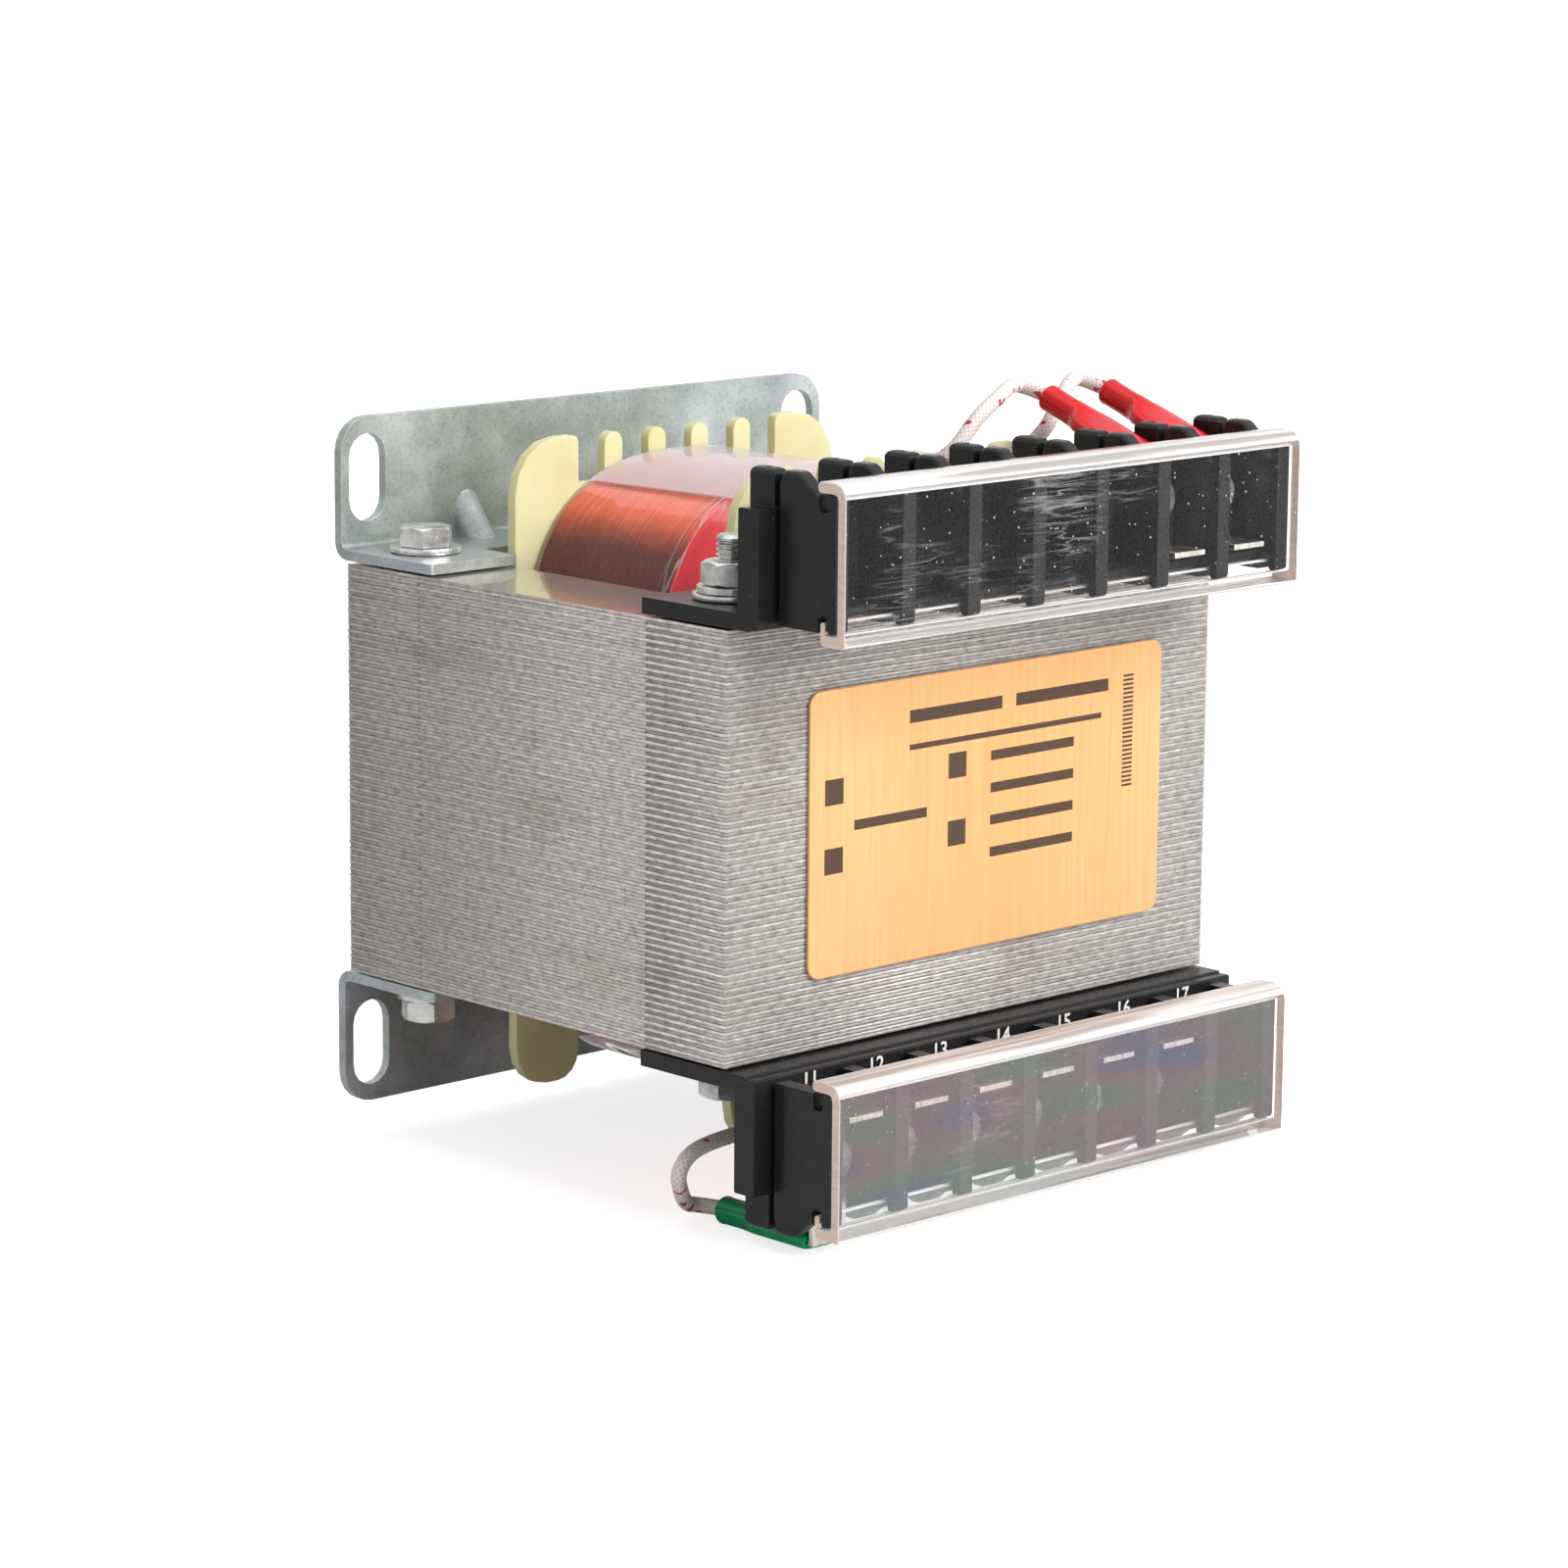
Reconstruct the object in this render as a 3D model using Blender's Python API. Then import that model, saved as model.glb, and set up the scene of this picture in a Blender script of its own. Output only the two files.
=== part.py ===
"""Control transformer for a machine cabinet, as separate solids in metres.

A laminated core lies flat with its coil round the centre leg. Two angle brackets behind
it screw to an upright panel, and two seven-pole barrier blocks sit in front of its top
and bottom faces. The model's origin is on the panel plane, midway between the two slots
of the top bracket: +X runs along the blocks, +Y goes into the panel and +Z is up.

Every piece is built in the core's own frame (the empty core_datum): x = 0 on the centre
leg, y = 0 on the front face and z = 0 halfway up the stack. A piece that is used at the
top and at the bottom is the same moulding, turned half round about the y axis.
"""
import math

import bmesh
import bpy
from mathutils import Matrix, Vector

MM = 0.001

# Clearances
SEAT_GAP = 0.3 * MM
STACK_GAP = 0.1 * MM
EDGE_TOLERANCE = 0.01 * MM

# Laminated core, cut to the scrapless E and I pattern
LEG_WIDTH = 16.0 * MM
STACK_HEIGHT = 60.0 * MM
CORE_WIDTH = 6.0 * LEG_WIDTH
CORE_DEPTH = 5.0 * LEG_WIDTH
WINDOW_LENGTH = 3.0 * LEG_WIDTH
CORE_TOP = STACK_HEIGHT / 2.0
WINDOW_FRONT = LEG_WIDTH
WINDOW_REAR = WINDOW_FRONT + WINDOW_LENGTH
WINDOW_SIDE = 2.0 * LEG_WIDTH

# Fasteners through the corners of the core
BOLT_RADIUS = 2.0 * MM
BOLT_HOLE_RADIUS = 2.35 * MM
BOLT_X = CORE_WIDTH / 2.0 - LEG_WIDTH / 2.0
BOLT_FRONT_Y = LEG_WIDTH / 2.0
BOLT_REAR_Y = CORE_DEPTH - LEG_WIDTH / 2.0
HEX_ACROSS_FLATS = 7.0 * MM
HEAD_HEIGHT = 2.8 * MM
NUT_HEIGHT = 3.2 * MM
HEX_CHAMFER = 0.35 * MM
FLAT_WASHER_RADIUS = 5.2 * MM
FLAT_WASHER_THICKNESS = 0.8 * MM
SPRING_WASHER_RADIUS = 4.6 * MM
SPRING_WASHER_THICKNESS = 0.9 * MM
SPRING_WASHER_SPLIT = 1.0 * MM
WASHER_BORE_RADIUS = 2.15 * MM
FRONT_THREAD_STUB = 3.6 * MM
REAR_THREAD_STUB = 0.5 * MM

# Coil former
BOBBIN_CLEARANCE = 0.3 * MM
BOBBIN_WALL = 1.2 * MM
FLANGE_THICKNESS = 1.7 * MM
FLANGE_SIDE_CLEARANCE = 0.4 * MM
FLANGE_BASE_RISE = 11.0 * MM
LUG_WIDTH = 12.0 * MM
LUG_TOP_RISE = 18.0 * MM
LUG_BOTTOM_DROP = 17.3 * MM
LUG_TOP_OUTER_RADIUS = 8.0 * MM
LUG_TOP_INNER_RADIUS = 1.0 * MM
LUG_BOTTOM_OUTER_RADIUS = 6.0 * MM
LUG_BOTTOM_INNER_RADIUS = 4.0 * MM
TOOTH_COUNT = 4
TOOTH_WIDTH = 3.4 * MM

# Windings, as layers between the former and the outer film
COIL_SIDE_CLEARANCE = 2.0 * MM
COIL_CROWN_RISE = 14.7 * MM
COIL_SHOULDER_DROP = 13.5 * MM
COIL_ROUNDNESS = 2.5
RED_TAPE_LENGTH = 15.0 * MM
COIL_LAYERS = {
    "primary_winding": (0.0, 0.41),
    "interlayer_insulation": (0.435, 0.485),
    "secondary_winding": (0.51, 0.90),
    "red_tape_band": (0.925, 0.955),
    "film_wrap": (0.98, 1.0),
}

# Angle brackets
BRACKET_THICKNESS = 1.5 * MM
BRACKET_STANDOFF = 1.6 * MM
BRACKET_END_INSET = 0.2 * MM
BRACKET_RISE = 20.7 * MM
BRACKET_INNER_BEND = 1.0 * MM
BRACKET_CORNER_RADIUS = 5.0 * MM
EAR_REACH = 18.5 * MM
MIDDLE_STRIP_REACH = 11.0 * MM
EAR_CORNER_RADIUS = 0.8 * MM
SLOT_WIDTH = 6.7 * MM
SLOT_LENGTH = 12.8 * MM
SLOT_END_DISTANCE = 4.9 * MM
SLOT_RISE = 11.85 * MM
DART_INSET = 24.0 * MM
DART_WIDTH = 5.0 * MM
DART_RISE = 7.6 * MM
DART_REACH = 6.0 * MM
DART_CREST_RADIUS = 2.4 * MM

# Mounting plane behind the brackets
PANEL_Y = CORE_DEPTH + BRACKET_STANDOFF + BRACKET_THICKNESS

# Terminal rail
RAIL_FACE = 5.8 * MM
RAIL_WALL = 3.9 * MM
RAIL_WALL_RISE = 16.8 * MM
RAIL_WALL_LIFT = 0.6 * MM
RAIL_EDGE_RADIUS = 0.3 * MM
RAIL_END_MARGIN = 3.0 * MM
RAIL_LEDGE_REACH = 6.0 * MM
FOOT_THICKNESS = 2.3 * MM
FOOT_REAR_MARGIN = 9.0 * MM
FOOT_WINDOW_CLEARANCE = 0.4 * MM
POST_OVERHANG = 0.9 * MM
POST_FRONT_INSET = 0.1 * MM
POST_RISE = 22.0 * MM
POST_EDGE_RADIUS = 0.7 * MM
POST_PIN_HOLE_RADIUS = 0.6 * MM
POST_PIN_HOLE_DEPTH = 2.0 * MM

# Barrier block
POLE_COUNT = 7
POLE_PITCH = 12.5 * MM
BARRIER_THICKNESS = 2.5 * MM
BARRIER_RAIL_GAP = 0.9 * MM
BARRIER_DEPTH = 10.6 * MM
BARRIER_LIFT = 1.1 * MM
BARRIER_SHELF_RISE = 19.4 * MM
BARRIER_CREST_DEPTH = 3.5 * MM
BARRIER_SLOPE_DEPTH = 3.2 * MM
BARRIER_REAR_RADIUS = 1.0 * MM
BARRIER_CREST_RADIUS = 1.6 * MM
BARRIER_SHELF_RADIUS = 1.0 * MM
BARRIER_FRONT_RADIUS = 0.6 * MM
BARRIER_EDGE_RADIUS = 0.4 * MM
NOTCH_REAR_DEPTH = 7.4 * MM
NOTCH_WIDTH = 1.8 * MM
NOTCH_HEIGHT = 2.3 * MM
NOTCH_MOUTH_RADIUS = 0.4 * MM
NOTCH_ROOT_RADIUS = 0.5 * MM
BLOCK_BACK_THICKNESS = 2.6 * MM
BLOCK_BACK_RISE = 16.0 * MM
BLOCK_FLOOR_INSET = 1.3 * MM
BLOCK_FLOOR_THICKNESS = 1.5 * MM
BLOCK_FLOOR_DEPTH = 7.1 * MM
BLOCK_EDGE_RADIUS = 0.3 * MM
BLOCK_CORNER_RADIUS = 0.6 * MM

# Clear cover
COVER_WALL = 1.5 * MM
COVER_FRONT_GAP = 0.4 * MM
COVER_CORNER_RADIUS = 2.2 * MM
COVER_INNER_RADIUS = 0.8 * MM
COVER_TIP_RADIUS = 0.6 * MM
COVER_HEEL_RADIUS = 0.5 * MM
COVER_TOP_REACH = 5.3 * MM
COVER_HOOK_WIDTH = 0.9 * MM
COVER_HOOK_HEIGHT = 1.7 * MM
COVER_HOOK_RADIUS = 0.3 * MM
COVER_FLOOR_GAP = 0.2 * MM

# Terminals, their screws and the crimped connectors in sleeves
TERMINAL_WIDTH = 6.3 * MM
TERMINAL_THICKNESS = 0.8 * MM
TAB_RISE = 5.2 * MM
TAB_END_INSET = 0.6 * MM
INNER_TAB_RISE = 16.9 * MM
INNER_TAB_SLOPE = math.radians(20.0)
INNER_TAB_LENGTH = 11.4 * MM
LOW_INNER_TAB_RISE = 23.8 * MM
SCREW_RISE = 12.3 * MM
SCREW_HEAD_RADIUS = 3.1 * MM
SCREW_HEAD_HEIGHT = 2.0 * MM
SCREW_HEAD_ROUND = 0.7 * MM
SCREW_RADIUS = 1.6 * MM
SCREW_HOLE_RADIUS = 1.9 * MM
SCREW_LENGTH = 2.9 * MM
SCREW_HOLE_DEPTH = 2.1 * MM
SCREW_SLOT_WIDTH = 0.7 * MM
SCREW_SLOT_DEPTH = 0.8 * MM
SLEEVE_FLAT_WIDTH = 7.8 * MM
SLEEVE_FLAT_THICKNESS = 2.2 * MM
SLEEVE_FLAT_LENGTH = 11.2 * MM
SLEEVE_NECK_LENGTH = 2.2 * MM
SLEEVE_BARREL_LENGTH = 6.2 * MM
SLEEVE_BARREL_RADIUS = 2.0 * MM
SLEEVE_FLAT_SQUARENESS = 4.0
SLEEVE_START = 2.0 * MM
LOW_SLEEVE_START = 0.8 * MM
SLEEVE_SLOT_CLEARANCE = 0.3 * MM
LEAD_RADIUS = 1.1 * MM
LEAD_SOCKET_DEPTH = 2.5 * MM
TOP_POLES_IN_USE = (6, 7)
BOTTOM_POLES_IN_USE = (1, 2, 3, 4, 5, 6)
TOP_SLEEVED_POLES = (6, 7)
BOTTOM_SLEEVED_POLE = 1

# Rating plate, bare
PLATE_WIDTH = 70.4 * MM
PLATE_HEIGHT = 40.0 * MM
PLATE_THICKNESS = 0.5 * MM
PLATE_CORNER_RADIUS = 2.0 * MM
PLATE_OFFSET_X = 2.0 * MM

# Where each lead leaves the coil: the gap beside a tooth, and the height over the core
LEAD_EXITS = {
    "lead_top_6": (1, 16.4 * MM),
    "lead_top_7": (2, 14.6 * MM),
    "lead_bottom_1": (-2, 13.8 * MM),
}
LEAD_EXIT_REACH = 4.3 * MM

# Free stretches of the leads, chosen by hand: share of the way across from the exit to the
# pole, then how far in front of the flange and how high over the core, in millimetres
LEAD_ROUTES = {
    "lead_top_6": ((0.07, 1.7, 18.4), (0.28, 2.9, 22.6), (0.55, 2.7, 25.2), (0.79, 1.1, 26.2),
                   (0.95, 0.7, 26.0)),
    "lead_top_7": ((0.16, 2.1, 15.6), (0.42, 3.4, 19.4), (0.62, 2.9, 23.4), (0.82, 1.1, 25.8),
                   (0.96, 0.4, 26.1)),
    "lead_bottom_1": ((0.14, 2.7, 13.9), (0.54, 4.7, 13.7), (0.98, 5.4, 13.4), (1.31, 5.7, 14.3),
                      (1.43, 5.5, 16.9), (1.34, 3.9, 20.3), (1.17, 1.3, 23.0), (1.04, 0.7, 23.9)),
}

COLOURS = {
    "silicon_steel": ((0.27, 0.24, 0.22), 0.45, 0.7),
    "nylon_cream": ((0.80, 0.76, 0.50), 0.45, 0.0),
    "copper_wire": ((0.56, 0.12, 0.035), 0.35, 0.6),
    "red_tape": ((0.80, 0.04, 0.05), 0.35, 0.0),
    "insulation_paper": ((0.72, 0.66, 0.50), 0.7, 0.0),
    "clear_film": ((0.85, 0.80, 0.80), 0.12, 0.0),
    "zinc_plate": ((0.60, 0.63, 0.62), 0.28, 1.0),
    "steel_fastener": ((0.66, 0.66, 0.64), 0.25, 1.0),
    "black_plastic": ((0.022, 0.021, 0.022), 0.5, 0.0),
    "clear_plastic": ((0.88, 0.88, 0.86), 0.08, 0.0),
    "nickel_brass": ((0.72, 0.68, 0.60), 0.25, 1.0),
    "red_sleeve": ((0.85, 0.01, 0.02), 0.3, 0.0),
    "green_sleeve": ((0.005, 0.33, 0.11), 0.35, 0.0),
    "glass_braid": ((0.80, 0.74, 0.70), 0.8, 0.0),
    "gold_foil": ((0.90, 0.55, 0.20), 0.35, 0.8),
}

FINE_ARC_STEP = math.radians(22.5)
COARSE_ARC_STEP = math.radians(45.0)
SMALL_RADIUS = 1.1 * MM
FLAT_ANGLE = math.radians(1.0)
SMOOTH_ANGLE = math.radians(35.0)
FILLET_SHARE = 0.998


# Outlines

def rounded(corners):
    """Closed outline through (x, y, radius) corners; two fillets share an edge at most."""
    count = len(corners)
    places = [Vector((x, y)) for x, y, radius in corners]
    half_angles = []
    reaches = []
    for index, (x, y, radius) in enumerate(corners):
        before = places[index - 1] - places[index]
        after = places[(index + 1) % count] - places[index]
        half_angles.append(before.angle(after) / 2.0)
        reaches.append(radius / math.tan(half_angles[index]))
    points = []
    for index, here in enumerate(places):
        if reaches[index] <= 0.0:
            points.append((here.x, here.y))
            continue
        reach = reaches[index]
        for neighbour in (index - 1, (index + 1) % count):
            edge = FILLET_SHARE * (places[neighbour] - here).length
            both = reaches[index] + reaches[neighbour]
            reach = min(reach, reaches[index] * edge / both)
        half_angle = half_angles[index]
        radius = reach * math.tan(half_angle)
        before = (places[index - 1] - here).normalized()
        after = (places[(index + 1) % count] - here).normalized()
        centre = here + (before + after).normalized() * (radius / math.sin(half_angle))
        start = here + before * reach - centre
        sweep = math.pi - 2.0 * half_angle
        if before.x * after.y - before.y * after.x > 0.0:
            sweep = -sweep
        steps = round(abs(sweep) / (COARSE_ARC_STEP if radius < SMALL_RADIUS else FINE_ARC_STEP))
        steps = max(1, steps)
        for step in range(steps + 1):
            turn = sweep * step / steps
            points.append((
                centre.x + start.x * math.cos(turn) - start.y * math.sin(turn),
                centre.y + start.x * math.sin(turn) + start.y * math.cos(turn),
            ))
    return points


def rectangle(x0, y0, x1, y1, radius=0.0):
    return rounded([(x0, y0, radius), (x1, y0, radius), (x1, y1, radius), (x0, y1, radius)])


def circle(x, y, radius, sides=16):
    return [
        (x + radius * math.cos(2.0 * math.pi * side / sides),
         y + radius * math.sin(2.0 * math.pi * side / sides))
        for side in range(sides)
    ]


def split_ring(outer, inner, split, sides=20):
    """Outline of a flat ring with a narrow split across it."""
    points = []
    for radius, order in ((outer, 1), (inner, -1)):
        half_split = math.asin(split / 2.0 / radius)
        sweep = 2.0 * (math.pi - half_split)
        arc = [half_split + sweep * side / sides for side in range(sides + 1)]
        points += [(radius * math.cos(a), radius * math.sin(a)) for a in arc[::order]]
    return points


def strip(path, thickness):
    """Outline of a bent strip of even thickness round a centre line."""
    left = []
    right = []
    for index, (x, y) in enumerate(path):
        normals = []
        for a, b in ((index - 1, index), (index, index + 1)):
            if a >= 0 and b < len(path):
                along = Vector((path[b][0] - path[a][0], path[b][1] - path[a][1])).normalized()
                normals.append(Vector((-along.y, along.x)))
        mean = sum(normals, Vector((0.0, 0.0))).normalized()
        offset = mean * (thickness / 2.0 / mean.dot(normals[0]))
        left.append((x + offset.x, y + offset.y))
        right.append((x - offset.x, y - offset.y))
    return left + right[::-1]


# Solids

PLANES = {
    "XY": Matrix.Identity(4),
    "XZ": Matrix.Rotation(math.pi / 2.0, 4, "X"),
    "YZ": Matrix.Rotation(math.pi / 2.0, 4, "Z") @ Matrix.Rotation(math.pi / 2.0, 4, "X"),
}


def evaluated_mesh(obj):
    bpy.context.view_layer.update()
    graph = bpy.context.evaluated_depsgraph_get()
    mesh = bpy.data.meshes.new_from_object(obj.evaluated_get(graph), depsgraph=graph)
    mesh.name = obj.name
    return mesh


def weld(mesh):
    shape = bmesh.new()
    shape.from_mesh(mesh)
    bmesh.ops.remove_doubles(shape, verts=shape.verts, dist=0.001 * MM)
    bmesh.ops.recalc_face_normals(shape, faces=shape.faces)
    shape.to_mesh(mesh)
    shape.free()


def merge_flat_faces(mesh):
    shape = bmesh.new()
    shape.from_mesh(mesh)
    bmesh.ops.dissolve_limit(shape, angle_limit=FLAT_ANGLE, verts=shape.verts, edges=shape.edges)
    shape.to_mesh(mesh)
    shape.free()


def outline_solid(name, loops, thickness, plane="XY", at=(0.0, 0.0, 0.0)):
    """Solid of a flat outline with holes, its thickness centred on the plane through at."""
    curve = bpy.data.curves.new(name, "CURVE")
    curve.dimensions = "2D"
    curve.fill_mode = "BOTH"
    curve.extrude = thickness / 2.0
    for points in loops:
        spline = curve.splines.new("POLY")
        spline.points.add(len(points) - 1)
        for point, (x, y) in zip(spline.points, points):
            point.co = (x, y, 0.0, 1.0)
        spline.use_cyclic_u = True
    outline = bpy.data.objects.new(name + "_outline", curve)
    bpy.context.scene.collection.objects.link(outline)
    mesh = evaluated_mesh(outline)
    bpy.data.objects.remove(outline)
    bpy.data.curves.remove(curve)
    weld(mesh)
    if len(loops) == 1:
        merge_flat_faces(mesh)
    mesh.transform(PLANES[plane])
    solid = bpy.data.objects.new(name, mesh)
    solid.location = at
    bpy.context.scene.collection.objects.link(solid)
    return solid


def box_solid(name, low, high):
    shape = bmesh.new()
    bmesh.ops.create_cube(shape, size=1.0)
    size = Vector(high) - Vector(low)
    bmesh.ops.scale(shape, vec=size, verts=shape.verts)
    mesh = bpy.data.meshes.new(name)
    shape.to_mesh(mesh)
    shape.free()
    solid = bpy.data.objects.new(name, mesh)
    solid.location = (Vector(high) + Vector(low)) / 2.0
    bpy.context.scene.collection.objects.link(solid)
    return solid


def cylinder_solid(name, radius, length, at, axis="Z", sides=16):
    shape = bmesh.new()
    bmesh.ops.create_cone(
        shape, cap_ends=True, segments=sides, radius1=radius, radius2=radius, depth=length)
    turn = {"X": Matrix.Rotation(math.pi / 2.0, 4, "Y"),
            "Y": Matrix.Rotation(math.pi / 2.0, 4, "X"),
            "Z": Matrix.Identity(4)}[axis]
    bmesh.ops.transform(shape, matrix=turn, verts=shape.verts)
    mesh = bpy.data.meshes.new(name)
    shape.to_mesh(mesh)
    shape.free()
    solid = bpy.data.objects.new(name, mesh)
    solid.location = at
    bpy.context.scene.collection.objects.link(solid)
    return solid


def combine(target, operands, operation):
    """Boolean of the target with each operand in turn; the operands are used up."""
    for operand in operands:
        modifier = target.modifiers.new(operation.lower(), "BOOLEAN")
        modifier.operation = operation
        modifier.solver = "EXACT"
        modifier.object = operand
    mesh = evaluated_mesh(target)
    target.modifiers.clear()
    target.data = mesh
    weld(mesh)
    for operand in operands:
        bpy.data.objects.remove(operand)
    return target


def joined(name, solids):
    """One mesh of several solids that don't meet, as a single operand."""
    shape = bmesh.new()
    for solid in solids:
        start = len(shape.verts)
        shape.from_mesh(solid.data)
        shape.verts.ensure_lookup_table()
        bmesh.ops.translate(shape, vec=solid.location, verts=shape.verts[start:])
        bpy.data.objects.remove(solid)
    mesh = bpy.data.meshes.new(name)
    shape.to_mesh(mesh)
    shape.free()
    group = bpy.data.objects.new(name, mesh)
    bpy.context.scene.collection.objects.link(group)
    return group


def same(a, b):
    return abs(a - b) < EDGE_TOLERANCE


def bevel_edges(solid, wanted, radius, segments):
    """Round the sharp edges for which wanted(first vertex, second vertex) holds."""
    shape = bmesh.new()
    shape.from_mesh(solid.data)
    edges = [edge for edge in shape.edges
             if edge.calc_face_angle() > FLAT_ANGLE
             and wanted(edge.verts[0].co, edge.verts[1].co)]
    bmesh.ops.bevel(shape, geom=edges, offset=radius, segments=segments, profile=0.5,
                    affect="EDGES", material=-1)
    shape.to_mesh(solid.data)
    shape.free()
    return solid


# Materials and placing

def material(name):
    found = bpy.data.materials.get(name)
    if found:
        return found
    colour, roughness, metallic = COLOURS[name]
    made = bpy.data.materials.new(name)
    made.use_nodes = True
    surface = made.node_tree.nodes["Principled BSDF"]
    surface.inputs["Base Color"].default_value = (*colour, 1.0)
    surface.inputs["Roughness"].default_value = roughness
    surface.inputs["Metallic"].default_value = metallic
    return made


class Assembly:
    """The collection of the finished pieces and the empty that carries them."""

    def __init__(self):
        self.pieces = bpy.data.collections.new("control_transformer")
        bpy.context.scene.collection.children.link(self.pieces)
        self.datum = bpy.data.objects.new("core_datum", None)
        self.datum.empty_display_size = LEG_WIDTH
        self.datum.location = (0.0, -PANEL_Y, -(CORE_TOP + SLOT_RISE))
        self.pieces.objects.link(self.datum)

    def shape(self, solid, slot, smooth=False):
        """Take the finished mesh of a solid, with its material, for the pieces made from it."""
        mesh = solid.data
        mesh.transform(Matrix.Translation(solid.location))
        bpy.data.objects.remove(solid)
        mesh.materials.clear()
        mesh.materials.append(material(slot))
        if smooth:
            mesh.shade_smooth()
            mesh.set_sharp_from_angle(angle=SMOOTH_ANGLE)
        return mesh

    def place(self, name, mesh, at=(0.0, 0.0, 0.0), turned=False):
        """A piece of this mesh, turned half round about y where it belongs to the bottom."""
        piece = bpy.data.objects.new(name, mesh)
        piece.location = at
        piece.rotation_euler = (0.0, math.pi if turned else 0.0, 0.0)
        piece.parent = self.datum
        self.pieces.objects.link(piece)


# Core

def build_core(assembly):
    half = CORE_WIDTH / 2.0
    loops = [rectangle(-half, 0.0, half, CORE_DEPTH)]
    for side in (-1.0, 1.0):
        inner = side * LEG_WIDTH
        outer = side * WINDOW_SIDE
        loops.append(rectangle(min(inner, outer), WINDOW_FRONT, max(inner, outer), WINDOW_REAR))
        for y in (BOLT_FRONT_Y, BOLT_REAR_Y):
            loops.append(circle(side * BOLT_X, y, BOLT_HOLE_RADIUS))
    core = outline_solid("core", loops, STACK_HEIGHT)
    assembly.place("core_laminations", assembly.shape(core, "silicon_steel"))


# Coil former and windings

TUBE_HALF_WIDTH = LEG_WIDTH + BOBBIN_CLEARANCE + BOBBIN_WALL
TUBE_HALF_HEIGHT = CORE_TOP + BOBBIN_CLEARANCE + BOBBIN_WALL
BOBBIN_FRONT = WINDOW_FRONT + BOBBIN_CLEARANCE
BOBBIN_REAR = WINDOW_REAR - BOBBIN_CLEARANCE
FLANGE_SIDE = WINDOW_SIDE - FLANGE_SIDE_CLEARANCE
LUG_SIDE = FLANGE_SIDE - LUG_WIDTH
TOOTH_GAP = (2.0 * LUG_SIDE - TOOTH_COUNT * TOOTH_WIDTH) / (TOOTH_COUNT + 1)
TOOTH_PITCH = TOOTH_GAP + TOOTH_WIDTH


def flange_outline():
    """Outline of one end flange: corner lugs, a toothed top edge and a plain bottom edge."""
    side = FLANGE_SIDE
    lug = LUG_SIDE
    top = CORE_TOP + LUG_TOP_RISE
    bottom = -CORE_TOP - LUG_BOTTOM_DROP
    base = CORE_TOP + FLANGE_BASE_RISE
    tip_radius = TOOTH_WIDTH / 2.0
    corners = [
        (-side, bottom, LUG_BOTTOM_OUTER_RADIUS),
        (-lug, bottom, LUG_BOTTOM_INNER_RADIUS),
        (-lug, -base, 0.0),
        (lug, -base, 0.0),
        (lug, bottom, LUG_BOTTOM_INNER_RADIUS),
        (side, bottom, LUG_BOTTOM_OUTER_RADIUS),
        (side, top, LUG_TOP_OUTER_RADIUS),
        (lug, top, LUG_TOP_INNER_RADIUS),
        (lug, base, 0.0),
    ]
    for tooth in reversed(range(TOOTH_COUNT)):
        centre = (tooth - (TOOTH_COUNT - 1) / 2.0) * TOOTH_PITCH
        right = centre + TOOTH_WIDTH / 2.0
        left = centre - TOOTH_WIDTH / 2.0
        corners += [(right, base, 0.0), (right, top, tip_radius),
                    (left, top, tip_radius), (left, base, 0.0)]
    corners += [(-lug, base, 0.0), (-lug, top, LUG_TOP_INNER_RADIUS),
                (-side, top, LUG_TOP_OUTER_RADIUS)]
    return rounded(corners)


def build_bobbin(assembly):
    half_flange = FLANGE_THICKNESS / 2.0
    tube = box_solid(
        "tube",
        (-TUBE_HALF_WIDTH, BOBBIN_FRONT + half_flange, -TUBE_HALF_HEIGHT),
        (TUBE_HALF_WIDTH, BOBBIN_REAR - half_flange, TUBE_HALF_HEIGHT))
    flanges = [
        outline_solid("flange", [flange_outline()], FLANGE_THICKNESS, "XZ", (0.0, y, 0.0))
        for y in (BOBBIN_FRONT + half_flange, BOBBIN_REAR - half_flange)
    ]
    combine(tube, [joined("flanges", flanges)], "UNION")
    bore_width = LEG_WIDTH + BOBBIN_CLEARANCE
    bore_height = CORE_TOP + BOBBIN_CLEARANCE
    bore = box_solid("bore", (-bore_width, 0.0, -bore_height), (bore_width, CORE_DEPTH, bore_height))
    combine(tube, [bore], "DIFFERENCE")
    assembly.place("bobbin", assembly.shape(tube, "nylon_cream"))


def layer_outline(fraction):
    """Outline of a winding layer: 0 on the former, 1 on the bulged outside of the coil."""
    inner_x = TUBE_HALF_WIDTH + SEAT_GAP
    inner_z = TUBE_HALF_HEIGHT + SEAT_GAP
    outer_x = WINDOW_SIDE - COIL_SIDE_CLEARANCE
    outer_z = CORE_TOP + COIL_CROWN_RISE
    shoulder = CORE_TOP - COIL_SHOULDER_DROP
    steps = 10
    quarter = []
    for step in range(steps + 1):
        turn = math.pi / 2.0 * step / steps
        outer = Vector((
            outer_x * math.cos(turn) ** (2.0 / COIL_ROUNDNESS) if step < steps else 0.0,
            shoulder + (outer_z - shoulder) * math.sin(turn) ** (2.0 / COIL_ROUNDNESS)))
        along = 2.0 * step / steps
        inner = Vector((inner_x * min(1.0, 2.0 - along),
                        shoulder + (inner_z - shoulder) * min(1.0, along)))
        quarter.append(inner.lerp(outer, fraction))
    right = [(p.x, -p.y) for p in quarter[::-1]] + [(p.x, p.y) for p in quarter]
    left = [(-x, z) for x, z in right[-2:0:-1]]
    return right + left


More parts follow.
